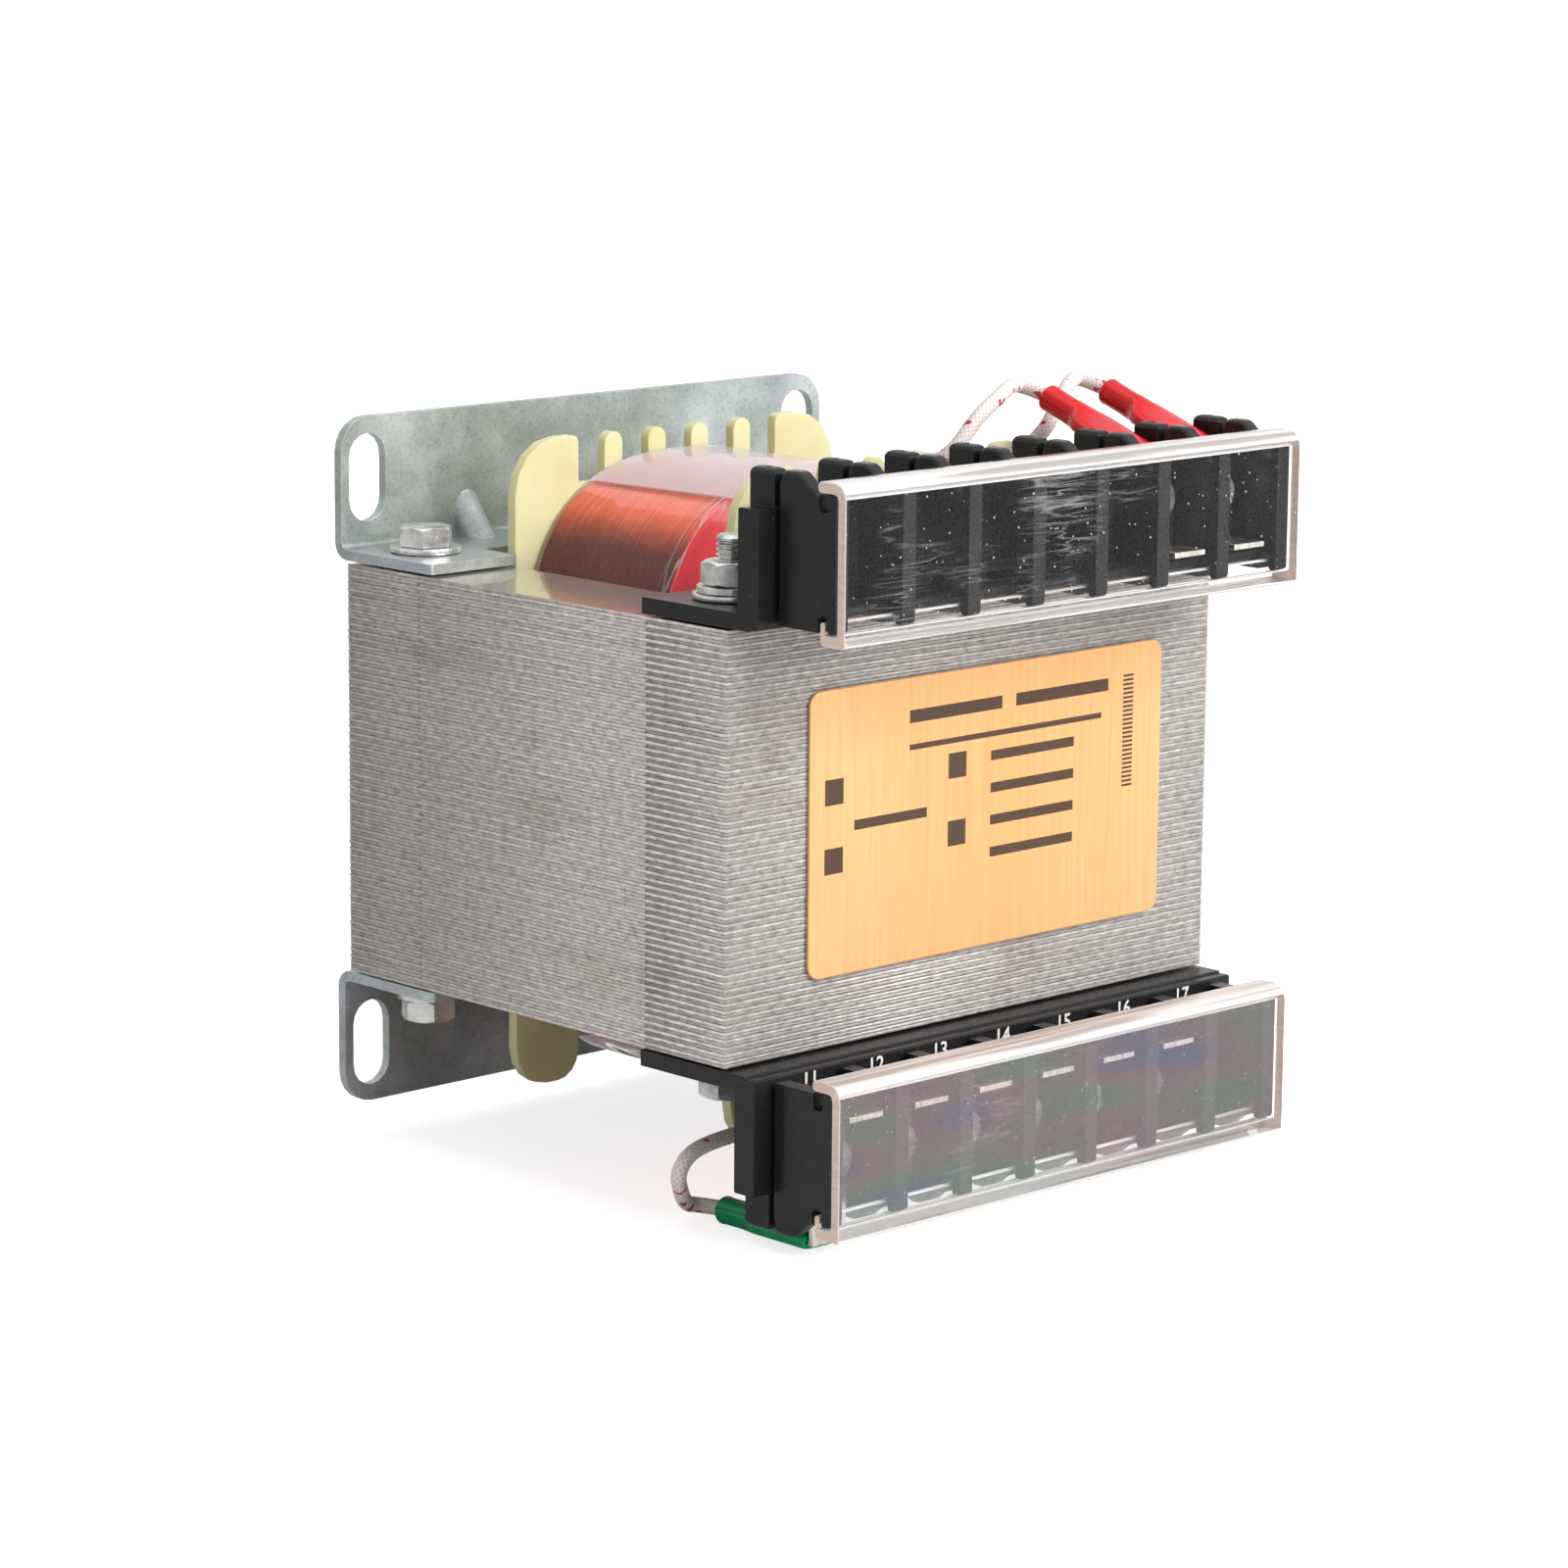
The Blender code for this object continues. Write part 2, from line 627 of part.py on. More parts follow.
def build_windings(assembly):
    front = BOBBIN_FRONT + FLANGE_THICKNESS + SEAT_GAP
    rear = BOBBIN_REAR - FLANGE_THICKNESS - SEAT_GAP
    slots = {
        "primary_winding": "copper_wire",
        "interlayer_insulation": "insulation_paper",
        "secondary_winding": "copper_wire",
        "red_tape_band": "red_tape",
        "film_wrap": "clear_film",
    }
    for name, (inner, outer) in COIL_LAYERS.items():
        end = front + RED_TAPE_LENGTH if name == "red_tape_band" else rear
        ring = outline_solid(name, [layer_outline(outer), layer_outline(inner)], end - front, "XZ",
                             (0.0, (front + end) / 2.0, 0.0))
        assembly.place(name, assembly.shape(ring, slots[name], smooth=True))


# Angle brackets

FLANGE_UNDERSIDE = CORE_TOP + SEAT_GAP
FLANGE_UPPERSIDE = FLANGE_UNDERSIDE + BRACKET_THICKNESS


def dart_prism(name, x, width, slope_y, slope_z, corner_y, corner_z):
    """Three-sided prism in the bend: slope_z on the upright, slope_y on the flange."""
    outline = [(corner_y, corner_z), (corner_y, slope_z), (slope_y, corner_z)]
    return outline_solid(name, [outline], width, "YZ", (x, 0.0, 0.0))


def build_brackets(assembly):
    rear = PANEL_Y
    front = CORE_DEPTH - EAR_REACH
    top = CORE_TOP + BRACKET_RISE
    half = CORE_WIDTH / 2.0 - BRACKET_END_INSET
    inner_bend = BRACKET_INNER_BEND
    outer_bend = BRACKET_INNER_BEND + BRACKET_THICKNESS
    upright = rear - BRACKET_THICKNESS
    profile = rounded([
        (front, FLANGE_UNDERSIDE, 0.0),
        (rear, FLANGE_UNDERSIDE, outer_bend),
        (rear, top, 0.0),
        (upright, top, 0.0),
        (upright, FLANGE_UPPERSIDE, inner_bend),
        (front, FLANGE_UPPERSIDE, 0.0),
    ])
    bracket = outline_solid("bracket", [profile], 2.0 * half, "YZ")

    def plate_corner(a, b):
        return same(abs(a.x), half) and same(a.x, b.x) and same(a.z, top) and same(b.z, top)

    def ear_corner(a, b):
        return same(abs(a.x), half) and same(a.x, b.x) and same(a.y, front) and same(b.y, front)

    def dart_crest(a, b):
        return same(a.x, b.x) and not same(a.y, b.y) and not same(a.z, b.z)

    bevel_edges(bracket, plate_corner, BRACKET_CORNER_RADIUS, 5)
    bevel_edges(bracket, ear_corner, EAR_CORNER_RADIUS, 2)

    darts = []
    dimples = []
    crest_y = upright - DART_REACH
    crest_z = FLANGE_UPPERSIDE + DART_RISE
    buried = BRACKET_THICKNESS / 2.0
    for side in (-1.0, 1.0):
        x = side * (CORE_WIDTH / 2.0 - DART_INSET)
        dart = dart_prism("dart", x, DART_WIDTH, crest_y, crest_z,
                          upright + buried, FLANGE_UPPERSIDE - buried)
        bevel_edges(dart, dart_crest, DART_CREST_RADIUS, 4)
        darts.append(dart)
        dimples.append(dart_prism(
            "dimple", x, DART_WIDTH - 2.0 * BRACKET_THICKNESS,
            crest_y + BRACKET_THICKNESS, crest_z - BRACKET_THICKNESS,
            rear + BRACKET_THICKNESS, FLANGE_UNDERSIDE - BRACKET_THICKNESS))
    combine(bracket, darts, "UNION")

    window = FLANGE_SIDE + SEAT_GAP
    cutters = [
        box_solid("middle_cut",
                  (-window, front - BRACKET_THICKNESS, FLANGE_UNDERSIDE - BRACKET_THICKNESS),
                  (window, CORE_DEPTH - MIDDLE_STRIP_REACH, FLANGE_UPPERSIDE + BRACKET_THICKNESS)),
    ]
    for side in (-1.0, 1.0):
        slot_x = side * (half - SLOT_END_DISTANCE)
        slot_z = CORE_TOP + SLOT_RISE
        outline = rectangle(slot_x - SLOT_WIDTH / 2.0, slot_z - SLOT_LENGTH / 2.0,
                            slot_x + SLOT_WIDTH / 2.0, slot_z + SLOT_LENGTH / 2.0,
                            SLOT_WIDTH / 2.0)
        cutters.append(outline_solid("slot", [outline], 4.0 * BRACKET_THICKNESS, "XZ",
                                     (0.0, upright, 0.0)))
        cutters.append(cylinder_solid("bolt_hole", BOLT_HOLE_RADIUS, 4.0 * BRACKET_THICKNESS,
                                      (side * BOLT_X, BOLT_REAR_Y, FLANGE_UNDERSIDE)))
    combine(bracket, cutters + dimples, "DIFFERENCE")
    mesh = assembly.shape(bracket, "zinc_plate")
    assembly.place("mounting_bracket_top", mesh)
    assembly.place("mounting_bracket_bottom", mesh, turned=True)


# Fasteners

def hex_prism(name, height):
    radius = HEX_ACROSS_FLATS / math.sqrt(3.0)
    shape = bmesh.new()
    bmesh.ops.create_cone(
        shape, cap_ends=True, segments=6, radius1=radius, radius2=radius, depth=height)
    bmesh.ops.translate(shape, vec=(0.0, 0.0, height / 2.0), verts=shape.verts)
    rim = [edge for edge in shape.edges
           if min(vertex.co.z for vertex in edge.verts) > height / 2.0]
    bmesh.ops.bevel(shape, geom=rim, offset=HEX_CHAMFER, segments=1, profile=0.5,
                    affect="EDGES", material=-1)
    mesh = bpy.data.meshes.new(name)
    shape.to_mesh(mesh)
    shape.free()
    solid = bpy.data.objects.new(name, mesh)
    bpy.context.scene.collection.objects.link(solid)
    return solid


def bolt_solid(name, length):
    """Hexagon-headed bolt, its seat under the head at z = 0 and its end at -length."""
    bolt = hex_prism(name, HEAD_HEIGHT)
    buried = HEAD_HEIGHT / 2.0
    shank = cylinder_solid("shank", BOLT_RADIUS, length + buried,
                           (0.0, 0.0, (buried - length) / 2.0), sides=14)
    return combine(bolt, [shank], "UNION")


def nut_solid():
    nut = hex_prism("nut", NUT_HEIGHT)
    bore = cylinder_solid("bore", WASHER_BORE_RADIUS, 4.0 * NUT_HEIGHT, (0.0, 0.0, 0.0), sides=14)
    return combine(nut, [bore], "DIFFERENCE")


def flat_washer_solid():
    rim = circle(0.0, 0.0, FLAT_WASHER_RADIUS, 20)
    bore = circle(0.0, 0.0, WASHER_BORE_RADIUS, 14)
    return outline_solid("flat_washer", [rim, bore], FLAT_WASHER_THICKNESS)


def spring_washer_solid():
    ring = split_ring(SPRING_WASHER_RADIUS, WASHER_BORE_RADIUS, SPRING_WASHER_SPLIT)
    return outline_solid("spring_washer", [ring], SPRING_WASHER_THICKNESS)


FOOT_TOP = CORE_TOP + SEAT_GAP + FOOT_THICKNESS
WASHER_STACK = STACK_GAP + FLAT_WASHER_THICKNESS
LOCK_STACK = STACK_GAP + SPRING_WASHER_THICKNESS


def build_fasteners(assembly):
    """Bolts with their heads on the top bracket at the rear and under the rail at the front."""
    nut = assembly.shape(nut_solid(), "steel_fastener")
    flat = assembly.shape(flat_washer_solid(), "steel_fastener", smooth=True)
    spring = assembly.shape(spring_washer_solid(), "steel_fastener", smooth=True)
    for end, seat, y, head_side, thread_stub in (
            ("rear", FLANGE_UPPERSIDE, BOLT_REAR_Y, 1.0, REAR_THREAD_STUB),
            ("front", FOOT_TOP, BOLT_FRONT_Y, -1.0, FRONT_THREAD_STUB)):
        flat_z = seat + STACK_GAP + FLAT_WASHER_THICKNESS / 2.0
        spring_z = seat + WASHER_STACK + STACK_GAP + SPRING_WASHER_THICKNESS / 2.0
        under_head = seat + WASHER_STACK + STACK_GAP
        nut_seat = seat + WASHER_STACK + LOCK_STACK + STACK_GAP
        length = under_head + nut_seat + NUT_HEIGHT + thread_stub
        bolt = assembly.shape(bolt_solid("bolt_" + end, length), "steel_fastener", smooth=True)
        head_below = head_side < 0.0
        for side, x in (("left", -BOLT_X), ("right", BOLT_X)):
            name = f"{end}_{side}"
            assembly.place("core_bolt_" + name, bolt, (x, y, head_side * under_head), head_below)
            assembly.place("core_nut_" + name, nut, (x, y, -head_side * nut_seat), not head_below)
            assembly.place(f"flat_washer_{name}_top", flat, (x, y, flat_z))
            assembly.place(f"flat_washer_{name}_bottom", flat, (x, y, -flat_z))
            assembly.place("spring_washer_" + name, spring, (x, y, -head_side * spring_z))


# Terminal rail, barrier block and cover, drawn for the top of the core

BARRIER_REAR = -RAIL_FACE - BARRIER_RAIL_GAP
BARRIER_FRONT = BARRIER_REAR - BARRIER_DEPTH
BARRIER_FOOT = CORE_TOP + BARRIER_LIFT
BLOCK_REAR = -RAIL_FACE - SEAT_GAP
BLOCK_BACK_FACE = BLOCK_REAR - BLOCK_BACK_THICKNESS
BAY_WIDTH = POLE_PITCH - BARRIER_THICKNESS
BLOCK_HALF_LENGTH = (POLE_COUNT * POLE_PITCH + BARRIER_THICKNESS) / 2.0


def barrier_x(index):
    """Middle of the barrier with this number, counted from 0 at the left end."""
    return (index - POLE_COUNT / 2.0) * POLE_PITCH


def pole_x(pole):
    """Middle of the bay with this number, counted from 1 at the left end."""
    return (barrier_x(pole - 1) + barrier_x(pole)) / 2.0


def build_rails(assembly):
    """Rail as long as the core, with a ledge along the core's edge and a foot at each bolt."""
    foot_end = CORE_WIDTH / 2.0
    half = max(BLOCK_HALF_LENGTH + RAIL_END_MARGIN, foot_end)
    wall_rear = RAIL_WALL - RAIL_FACE
    wall_top = CORE_TOP + RAIL_WALL_RISE
    foot_bottom = CORE_TOP + SEAT_GAP
    wall = rounded([
        (-RAIL_FACE, CORE_TOP + RAIL_WALL_LIFT, RAIL_EDGE_RADIUS),
        (wall_rear, CORE_TOP + RAIL_WALL_LIFT, 0.0),
        (wall_rear, wall_top, RAIL_EDGE_RADIUS),
        (-RAIL_FACE, wall_top, RAIL_EDGE_RADIUS),
    ])
    rail = outline_solid("rail", [wall], 2.0 * half, "YZ")
    buried = RAIL_WALL / 2.0
    foot_start = WINDOW_SIDE + FOOT_WINDOW_CLEARANCE
    foot_rear = BOLT_FRONT_Y + FOOT_REAR_MARGIN
    plate = rounded([
        (-foot_end, wall_rear - buried, 0.0),
        (foot_end, wall_rear - buried, 0.0),
        (foot_end, foot_rear, 0.0),
        (foot_start, foot_rear, 0.0),
        (foot_start, RAIL_LEDGE_REACH, RAIL_EDGE_RADIUS),
        (-foot_start, RAIL_LEDGE_REACH, RAIL_EDGE_RADIUS),
        (-foot_start, foot_rear, 0.0),
        (-foot_end, foot_rear, 0.0),
    ])
    feet = outline_solid("feet", [plate], FOOT_THICKNESS, "XY",
                         (0.0, 0.0, (foot_bottom + FOOT_TOP) / 2.0))
    combine(rail, [feet], "UNION")

    posts = []
    holes = []
    post_rear = wall_rear + POST_OVERHANG
    post_front = -RAIL_FACE + POST_FRONT_INSET
    post_top = CORE_TOP + POST_RISE
    post_middle = (post_rear + post_front) / 2.0
    for index in range(POLE_COUNT + 1):
        x = barrier_x(index)
        post = box_solid("post", (x - BARRIER_THICKNESS / 2.0, post_front, wall_top - buried),
                         (x + BARRIER_THICKNESS / 2.0, post_rear, post_top))
        bevel_edges(post, lambda a, b: a.z > 0.0 and same(a.z, b.z), POST_EDGE_RADIUS, 2)
        posts.append(post)
        holes.append(cylinder_solid("pin_hole", POST_PIN_HOLE_RADIUS, 2.0 * POST_PIN_HOLE_DEPTH,
                                    (x, post_middle, post_top), sides=8))
    combine(rail, [joined("posts", posts)], "UNION")
    for side in (-1.0, 1.0):
        holes.append(cylinder_solid("bolt_hole", BOLT_HOLE_RADIUS, 4.0 * FOOT_THICKNESS,
                                    (side * BOLT_X, BOLT_FRONT_Y, FOOT_TOP)))
    combine(rail, [joined("holes", holes)], "DIFFERENCE")
    mesh = assembly.shape(rail, "black_plastic")
    assembly.place("terminal_rail_top", mesh)
    assembly.place("terminal_rail_bottom", mesh, turned=True)


def barrier_outline():
    """Side outline of one barrier, with a notch at either end for the cover's hook."""
    crest = CORE_TOP + POST_RISE
    shelf = CORE_TOP + BARRIER_SHELF_RISE
    crest_front = BARRIER_REAR - BARRIER_CREST_DEPTH
    slope_front = crest_front - BARRIER_SLOPE_DEPTH
    notch_rear = BARRIER_REAR - NOTCH_REAR_DEPTH
    notch_front = notch_rear - NOTCH_WIDTH
    notch_top = BARRIER_FOOT + NOTCH_HEIGHT
    notch_floor = shelf - NOTCH_HEIGHT
    return rounded([
        (BARRIER_REAR, BARRIER_FOOT, 0.0),
        (BARRIER_REAR, crest, BARRIER_REAR_RADIUS),
        (crest_front, crest, BARRIER_CREST_RADIUS),
        (slope_front, shelf, BARRIER_SHELF_RADIUS),
        (notch_rear, shelf, 0.0),
        (notch_rear, notch_floor, NOTCH_ROOT_RADIUS),
        (notch_front, notch_floor, NOTCH_ROOT_RADIUS),
        (notch_front, shelf, NOTCH_MOUTH_RADIUS),
        (BARRIER_FRONT, shelf, BARRIER_FRONT_RADIUS),
        (BARRIER_FRONT, BARRIER_FOOT, BARRIER_FRONT_RADIUS),
        (notch_front, BARRIER_FOOT, NOTCH_MOUTH_RADIUS),
        (notch_front, notch_top, NOTCH_ROOT_RADIUS),
        (notch_rear, notch_top, NOTCH_ROOT_RADIUS),
        (notch_rear, BARRIER_FOOT, 0.0),
    ])


def build_block(assembly, name, poles_in_use, turned):
    """Moulded block: barriers joined by a back wall and a floor, with a screw hole a pole."""
    back_top = CORE_TOP + BLOCK_BACK_RISE
    floor_bottom = BARRIER_FOOT + BLOCK_FLOOR_INSET
    floor_top = floor_bottom + BLOCK_FLOOR_THICKNESS
    floor_front = BARRIER_REAR - BLOCK_FLOOR_DEPTH
    body = rounded([
        (BLOCK_REAR, floor_bottom, 0.0),
        (BLOCK_REAR, back_top, BLOCK_EDGE_RADIUS),
        (BLOCK_BACK_FACE, back_top, BLOCK_EDGE_RADIUS),
        (BLOCK_BACK_FACE, floor_top, BLOCK_CORNER_RADIUS),
        (floor_front, floor_top, BLOCK_EDGE_RADIUS),
        (floor_front, floor_bottom, BLOCK_EDGE_RADIUS),
    ])
    block = outline_solid("block", [body], POLE_COUNT * POLE_PITCH, "YZ")
    shelf = CORE_TOP + BARRIER_SHELF_RISE
    barriers = []
    for index in range(POLE_COUNT + 1):
        barrier = outline_solid("barrier", [barrier_outline()], BARRIER_THICKNESS, "YZ",
                                (barrier_x(index), 0.0, 0.0))
        bevel_edges(
            barrier,
            lambda a, b: same(a.x, b.x) and min(a.z, b.z) > shelf - EDGE_TOLERANCE,
            BARRIER_EDGE_RADIUS, 1)
        barriers.append(barrier)
    combine(block, [joined("barriers", barriers)], "UNION")
    holes = []
    for pole in poles_in_use:
        x = -pole_x(pole) if turned else pole_x(pole)
        holes.append(cylinder_solid(
            "screw_hole", SCREW_HOLE_RADIUS, 2.0 * SCREW_HOLE_DEPTH,
            (x, BLOCK_BACK_FACE, CORE_TOP + SCREW_RISE), axis="Y", sides=12))
    combine(block, [joined("screw_holes", holes)], "DIFFERENCE")
    assembly.place(name, assembly.shape(block, "black_plastic"), turned=turned)


def build_covers(assembly):
    """Clear channels over both blocks, the same way up, each hooked into its lower notches."""
    inner_front = BARRIER_FRONT - COVER_FRONT_GAP
    front = inner_front - COVER_WALL
    top_inside = CORE_TOP + BARRIER_SHELF_RISE + SEAT_GAP
    top = top_inside + COVER_WALL
    floor_top = BARRIER_FOOT - COVER_FLOOR_GAP
    bottom = floor_top - COVER_WALL
    top_tip = front + COVER_TOP_REACH
    hook_rear = BARRIER_REAR - NOTCH_REAR_DEPTH - (NOTCH_WIDTH - COVER_HOOK_WIDTH) / 2.0
    hook_front = hook_rear - COVER_HOOK_WIDTH
    hook_top = floor_top + COVER_HOOK_HEIGHT
    profile = rounded([
        (top_tip, top, COVER_TIP_RADIUS),
        (front, top, COVER_CORNER_RADIUS),
        (front, bottom, COVER_HEEL_RADIUS),
        (hook_rear, bottom, COVER_HEEL_RADIUS),
        (hook_rear, hook_top, COVER_HOOK_RADIUS),
        (hook_front, hook_top, COVER_HOOK_RADIUS),
        (hook_front, floor_top, 0.0),
        (inner_front, floor_top, COVER_HOOK_RADIUS),
        (inner_front, top_inside, COVER_INNER_RADIUS),
        (top_tip, top_inside, COVER_TIP_RADIUS),
    ])
    cover = outline_solid("cover", [profile], 2.0 * BLOCK_HALF_LENGTH, "YZ")
    mesh = assembly.shape(cover, "clear_plastic", smooth=True)
    assembly.place("terminal_cover_top", mesh)
    assembly.place("terminal_cover_bottom", mesh, (0.0, 0.0, SEAT_GAP - BARRIER_FOOT - top_inside))


# Terminals, screws, sleeves and leads

TERMINAL_Y = BLOCK_BACK_FACE - SEAT_GAP - TERMINAL_THICKNESS / 2.0
TAB_TIP_Y = BARRIER_FRONT + TAB_END_INSET


def terminal_solid(rise, slope):
    """Bent strip: a tab to the front, an upright with the screw hole, a tab to the rear."""
    end_y = TERMINAL_Y + INNER_TAB_LENGTH * math.cos(slope)
    end_z = CORE_TOP + rise + INNER_TAB_LENGTH * math.sin(slope)
    path = [
        (TAB_TIP_Y, CORE_TOP + TAB_RISE),
        (TERMINAL_Y, CORE_TOP + TAB_RISE),
        (TERMINAL_Y, CORE_TOP + rise),
        (end_y, end_z),
    ]
    outline = strip(path, TERMINAL_THICKNESS)
    terminal = outline_solid("terminal", [outline], TERMINAL_WIDTH, "YZ")
    hole = cylinder_solid("hole", SCREW_HOLE_RADIUS, 4.0 * TERMINAL_THICKNESS,
                          (0.0, TERMINAL_Y, CORE_TOP + SCREW_RISE), axis="Y", sides=12)
    return combine(terminal, [hole], "DIFFERENCE")


def screw_solid():
    """Pan-headed screw with a straight slot, its axis along y."""
    under_head = TERMINAL_Y - TERMINAL_THICKNESS / 2.0 - STACK_GAP
    z = CORE_TOP + SCREW_RISE
    head = cylinder_solid("head", SCREW_HEAD_RADIUS, SCREW_HEAD_HEIGHT, (0.0, 0.0, 0.0), "Y", 16)
    bevel_edges(head, lambda a, b: a.y < 0.0 and same(a.y, b.y), SCREW_HEAD_ROUND, 2)
    head.data.transform(Matrix.Translation((0.0, under_head - SCREW_HEAD_HEIGHT / 2.0, z)))
    buried = SCREW_HEAD_HEIGHT / 4.0
    shank = cylinder_solid("shank", SCREW_RADIUS, SCREW_LENGTH + buried,
                           (0.0, under_head + (SCREW_LENGTH - buried) / 2.0, z), "Y", 12)
    combine(head, [shank], "UNION")
    face = under_head - SCREW_HEAD_HEIGHT
    past = 2.0 * SCREW_HEAD_RADIUS
    half_slot = SCREW_SLOT_WIDTH / 2.0
    slot = box_solid("slot", (-past, face - SCREW_HEAD_HEIGHT, z - half_slot),
                     (past, face + SCREW_SLOT_DEPTH, z + half_slot))
    return combine(head, [slot], "DIFFERENCE")


def sleeve_section(half_width, half_height, power, sides=16):
    """Rounded section of a sleeve: power 2 is an ellipse, more is squarer."""
    points = []
    for side in range(sides):
        turn = 2.0 * math.pi * (side + 0.5) / sides
        c = math.cos(turn)
        s = math.sin(turn)
        points.append((math.copysign(abs(c) ** (2.0 / power), c) * half_width,
                       math.copysign(abs(s) ** (2.0 / power), s) * half_height))
    return points


def sleeve_end(start):
    """Distance from the terminal's upper bend to the sleeve's rear end."""
    return start + SLEEVE_FLAT_LENGTH + SLEEVE_NECK_LENGTH + SLEEVE_BARREL_LENGTH


def sleeve_solid(name, start, rise, slope):
    """Sleeve over a crimped connector: flat over the tab, round over the lead."""
    flat = (SLEEVE_FLAT_WIDTH / 2.0, SLEEVE_FLAT_THICKNESS / 2.0, SLEEVE_FLAT_SQUARENESS)
    barrel = (SLEEVE_BARREL_RADIUS, SLEEVE_BARREL_RADIUS, 2.0)
    neck = start + SLEEVE_FLAT_LENGTH
    end = sleeve_end(start)
    stations = [(start, flat), (neck, flat), (neck + SLEEVE_NECK_LENGTH, barrel), (end, barrel)]
    shape = bmesh.new()
    rings = []
    for distance, (half_width, half_height, power) in stations:
        ring = [shape.verts.new((x, distance, z))
                for x, z in sleeve_section(half_width, half_height, power)]
        rings.append(ring)
    for near_ring, far_ring in zip(rings, rings[1:]):
        for side in range(len(near_ring)):
            ahead = (side + 1) % len(near_ring)
            shape.faces.new((near_ring[side], near_ring[ahead], far_ring[ahead], far_ring[side]))
    shape.faces.new(rings[0][::-1])
    shape.faces.new(rings[-1])
    bmesh.ops.recalc_face_normals(shape, faces=shape.faces)
    mesh = bpy.data.meshes.new(name)
    shape.to_mesh(mesh)
    shape.free()
    sleeve = bpy.data.objects.new(name, mesh)
    bpy.context.scene.collection.objects.link(sleeve)
    slot_half = TERMINAL_WIDTH / 2.0 + SLEEVE_SLOT_CLEARANCE
    slot_height = TERMINAL_THICKNESS / 2.0 + SLEEVE_SLOT_CLEARANCE
    slot = box_solid("slot", (-slot_half, -start, -slot_height),
                     (slot_half, INNER_TAB_LENGTH + SLEEVE_SLOT_CLEARANCE, slot_height))
    socket = cylinder_solid("socket", LEAD_RADIUS + SEAT_GAP, 2.0 * LEAD_SOCKET_DEPTH,
                            (0.0, end, 0.0), "Y", 12)
    combine(sleeve, [slot, socket], "DIFFERENCE")
    sleeve.data.transform(
        Matrix.Translation((0.0, TERMINAL_Y, CORE_TOP + rise)) @ Matrix.Rotation(slope, 4, "X"))
    return sleeve


def build_terminals(assembly):
    """A terminal and a screw in each bay in use, and a sleeve where a lead ends."""
    sloping = assembly.shape(terminal_solid(INNER_TAB_RISE, INNER_TAB_SLOPE), "nickel_brass")
    level = assembly.shape(terminal_solid(LOW_INNER_TAB_RISE, 0.0), "nickel_brass")
    screw = assembly.shape(screw_solid(), "steel_fastener", smooth=True)
    for block, poles, turned in (("top", TOP_POLES_IN_USE, False),
                                 ("bottom", BOTTOM_POLES_IN_USE, True)):
        for pole in poles:
            terminal = level if turned and pole == BOTTOM_SLEEVED_POLE else sloping
            at = (pole_x(pole), 0.0, 0.0)
            assembly.place(f"terminal_{block}_{pole}", terminal, at, turned)
            assembly.place(f"terminal_screw_{block}_{pole}", screw, at, turned)
    red = assembly.shape(sleeve_solid("sleeve_red", SLEEVE_START, INNER_TAB_RISE, INNER_TAB_SLOPE),
                         "red_sleeve", smooth=True)
    for pole in TOP_SLEEVED_POLES:
        assembly.place(f"sleeve_red_{pole}", red, (pole_x(pole), 0.0, 0.0))
    green = assembly.shape(sleeve_solid("sleeve_green", LOW_SLEEVE_START, LOW_INNER_TAB_RISE, 0.0),
                           "green_sleeve", smooth=True)
    assembly.place("sleeve_green", green, (pole_x(BOTTOM_SLEEVED_POLE), 0.0, 0.0), turned=True)


def lead_start(name, way):
    """First two points of a lead, behind the front flange and in the gap beside a tooth."""
    gap, rise = LEAD_EXITS[name]
    flange = BOBBIN_FRONT + FLANGE_THICKNESS / 2.0
    return [Vector((gap * TOOTH_PITCH, y, way * (CORE_TOP + rise)))
            for y in (flange + LEAD_EXIT_REACH, flange)]


def lead_end(pole, level):
    """Last two points of a lead, on the axis of its sleeve and in its socket."""
    low = level == "bottom"
    start = LOW_SLEEVE_START if low else SLEEVE_START
    rise = LOW_INNER_TAB_RISE if low else INNER_TAB_RISE
    slope = 0.0 if low else INNER_TAB_SLOPE
    way = -1.0 if low else 1.0
    end = sleeve_end(start)
    return [
        Vector((pole_x(pole), TERMINAL_Y + distance * math.cos(slope),
                way * (CORE_TOP + rise + distance * math.sin(slope))))
        for distance in (end + LEAD_RADIUS, end - LEAD_SOCKET_DEPTH + SEAT_GAP)
    ]


def smooth_route(knots, steps=4):
    """Points along a smooth curve through the given ones."""
    knots = [2.0 * knots[0] - knots[1]] + knots + [2.0 * knots[-1] - knots[-2]]
    route = []
    for index in range(1, len(knots) - 2):
        a, b, c, d = knots[index - 1:index + 3]
        for step in range(steps):
            t = step / steps
            route.append(0.5 * (2.0 * b + (c - a) * t + (2.0 * a - 5.0 * b + 4.0 * c - d) * t * t
                                + (3.0 * b - 3.0 * c + d - a) * t * t * t))
    route.append(knots[-2])
    return route


